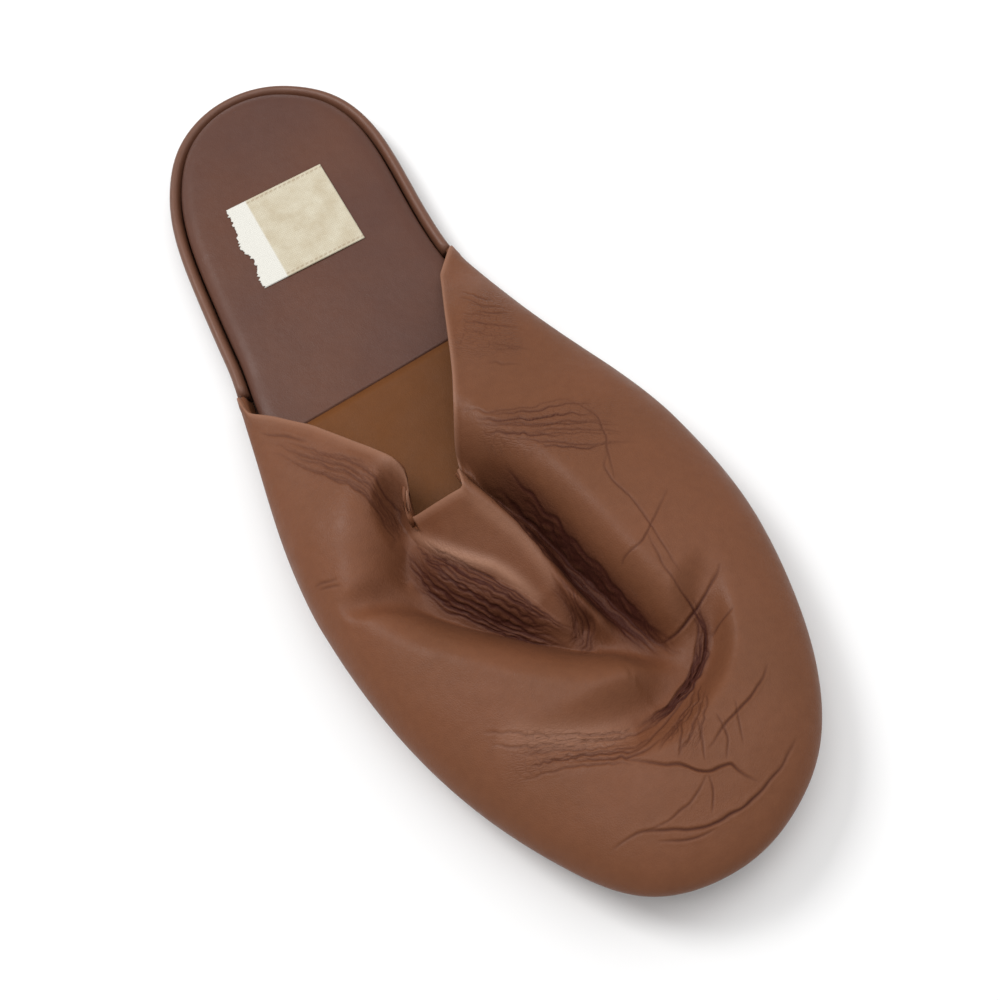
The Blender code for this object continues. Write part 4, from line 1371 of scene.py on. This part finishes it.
def pad_crown(x, s, t):
    """The pad is pressed a little where the heel stands, and uneven by a few tenths."""
    middle = np.exp(-((s / LENGTH - HOLLOW_ALONG) / HOLLOW_LENGTH) ** 2 - ((t - 0.5) / HOLLOW_WIDTH) ** 2)
    uneven = ripple_field(x, s, PAD_SWELL.size, PAD_SWELL.seed) * math.sin(math.pi * t)
    return PAD_SWELL.height * uneven - HOLLOW_DEPTH * middle


heel_grid = plate_grid(
    bed_inset, HEEL_PAD_THICKNESS,
    [Edge(0.15, 0.0), Edge(0.0, 0.15), Edge(0.0, 0.35), *arc_profile(0.87, 0.45, 1.0, 9)],
    lambda s: lift(s) + SOCK_BOTTOM, pad_top, end=SOCK_SEAM * LENGTH - SEAT_GAP / 2, crown=pad_crown)
heel_pad = make_plate("heel_pad", heel_grid, HEEL_LEATHER, ("heel_sock",))

fore_grid = plate_grid(
    bed_inset, FORE_SOCK_THICKNESS,
    [Edge(0.2, 0.0), Edge(0.0, 0.3), *arc_profile(0.77, 0.6, 1.0, 5)],
    lambda s: lift(s) + SOCK_BOTTOM, lambda s: lift(s) + BED_TOP, start=SOCK_SEAM * LENGTH + SEAT_GAP / 2)
make_plate("fore_sock", fore_grid, FORE_LEATHER, ("forefoot_sock",))

# %% [markdown]
# The rand is a strip that wraps the side of the footbed at the heel and ends in a rolled rim. Its section
# is swept from one collar corner round to the other.

# %% Heel rand
Roll = namedtuple("Roll", "inwards upwards")
RAND_SECTION = [
    Roll(0.42, 0.00),
    Roll(0.12, 0.35),
    Roll(0.00, 0.62),
    Roll(0.06, 0.84),
    Roll(0.26, 0.97),
    Roll(0.52, 1.00),
    Roll(0.80, 0.90),
    Roll(1.00, 0.66),
    Roll(1.00, 0.00),
]
CORNER_GAP = 0.0006
RAND_STATIONS = 220
SECTION_STEPS = 3


def make_rand():
    curved, last = RAND_SECTION[:-1], RAND_SECTION[-1]
    at = np.arange(len(curved))
    fine = np.linspace(0, at[-1], at[-1] * SECTION_STEPS + 1)
    inwards, upwards = (np.append(np.clip(spline(at, column)(fine), 0, 1), end)
                        for column, end in zip(zip(*curved), last))
    share = np.linspace(-1.0, 1.0, RAND_STATIONS + 1)
    side = np.where(share > 0, MEDIAL, LATERAL)
    corner = np.where(share > 0, MEDIAL_HEM[-1].along, LATERAL_HEM[-1].along) - CORNER_GAP / LENGTH
    turn = np.minimum(math.pi * np.abs(share), turn_of(corner))
    inner_edge = bed_inset(along_of(turn)) - SIDE_GAP
    rows = []
    for inward, upward in zip(inwards, upwards):
        x, s = inset_point(side, turn, inward * inner_edge)
        rows.append(place(x, s, lift(s) + OUTSOLE_THICKNESS + SEAT_GAP + upward * RAND_HEIGHT))
    grid = np.stack(rows + [rows[0]], axis=1)
    make_plate("rand", grid, RAND_LEATHER, ("heel_rand",))


make_rand()

# %% [markdown]
# The label is a small woven patch glued on the heel seat, with a line of stitches along its two long
# edges. It is a sheet of cloth laid flat. Its outer end is torn, and a paler strip of backing shows there.
# It carries no words.

# %% Label
LABEL_LENGTH = 0.031
LABEL_WIDTH = 0.032
CLOTH_THICKNESS = 0.00036
LABEL_ALONG = 0.200
LABEL_ACROSS = -0.014
LABEL_TURN = math.radians(-3.5)
LABEL_CELLS = 64
BACKING_SHARE = 0.22
FRAY = 0.030
FRAY_WAVES = 8
STITCH_INSET = 0.035
STITCH_REACH = 0.6 / LABEL_CELLS
STITCH_TONE = 0.55
CLEAN_CLOTH, SOILED_CLOTH, THREAD_GAP = (0.58, 0.53, 0.41), (0.46, 0.39, 0.27), (0.38, 0.31, 0.21)
BACKING_COLOUR, STITCH_COLOUR = (0.66, 0.645, 0.59), (0.24, 0.15, 0.08)
WARP_SCALE, WEFT_SCALE = 560.0, 480.0
WEAVE_DEPTH = 0.00015


def make_cloth_material():
    material, tree, shader = new_material("label cloth")
    where = tree.nodes.new("ShaderNodeTexCoord").outputs["Object"]
    turned = add_node(tree, "ShaderNodeMapping", Rotation=(0, 0, -LABEL_TURN))
    tree.links.new(where, turned.inputs["Vector"])
    threads = []
    for scale, direction in ((WARP_SCALE, "X"), (WEFT_SCALE, "Y")):
        wave = add_node(tree, "ShaderNodeTexWave", Scale=scale, Distortion=0.6)
        wave.bands_direction = direction
        tree.links.new(turned.outputs[0], wave.inputs["Vector"])
        threads.append(wave.outputs["Color"])
    weave = mix_colour(tree, 0.5, *threads)
    grime = ramp(tree, noise(tree, where, 160.0, 4.0, 0.6), 0.35, 0.75)
    colour = mix_colour(tree, grime, CLEAN_CLOTH, SOILED_CLOTH)
    colour = mix_colour(tree, ramp(tree, weave, 0.2, 0.6, 0.25, 0.0), colour, THREAD_GAP)
    for name, tint in (("backing", BACKING_COLOUR), ("stitch", STITCH_COLOUR)):
        colour = mix_colour(tree, attribute(tree, name), colour, tint)
    tree.links.new(colour, shader.inputs["Base Color"])
    shader.inputs["Roughness"].default_value = 0.85
    tree.links.new(bump(tree, weave, WEAVE_DEPTH, 0.5), shader.inputs["Normal"])
    return material


def make_label():
    bm = bmesh.new()
    bmesh.ops.create_grid(bm, x_segments=LABEL_CELLS, y_segments=LABEL_CELLS, size=0.5)
    draw = np.random.default_rng(12)
    threads = draw.uniform(-0.5, 0.5, LABEL_CELLS + 1)
    waves = draw.uniform(-1, 1, FRAY_WAVES + 1)
    fray = threads + np.interp(
        np.arange(LABEL_CELLS + 1), np.linspace(0, LABEL_CELLS, FRAY_WAVES + 1), waves)
    backing, stitch = (bm.verts.layers.float.new(name) for name in ("backing", "stitch"))
    for vert in bm.verts:
        row = round((vert.co.y + 0.5) * LABEL_CELLS)
        vert[backing] = float(vert.co.x < BACKING_SHARE - 0.5)
        on_line = abs(0.5 - STITCH_INSET - abs(vert.co.y)) < STITCH_REACH and not vert[backing]
        vert[stitch] = STITCH_TONE * (on_line and round(vert.co.x * LABEL_CELLS) % 3 > 0)
        vert.co.x += FRAY * fray[row] * max(0.0, 1 - (vert.co.x + 0.5) / BACKING_SHARE)
        vert.co.x *= LABEL_WIDTH
        vert.co.y *= LABEL_LENGTH
    bmesh.ops.solidify(bm, geom=bm.faces, thickness=CLOTH_THICKNESS)
    bmesh.ops.rotate(bm, verts=bm.verts, matrix=Matrix.Rotation(LABEL_TURN, 3, "Z"))
    centre = Vector(place(np.float64(LABEL_ACROSS * BALL_WIDTH), np.float64(LABEL_ALONG * LENGTH),
                          np.float64(PAD_TOP + SEAT_GAP)))
    bmesh.ops.translate(bm, verts=bm.verts, vec=centre)
    return finish_piece("cloth_label", bm, make_cloth_material(), ("label",))


label = make_label()

# %% [markdown]
# The insole board lies between sole and socks, where only its edge could ever be seen. Its solid is good
# enough as it is, so it only gets the look of pressed board.

# %% The insole keeps its solid
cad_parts["insole"].data.materials.clear()
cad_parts["insole"].data.materials.append(BOARD)
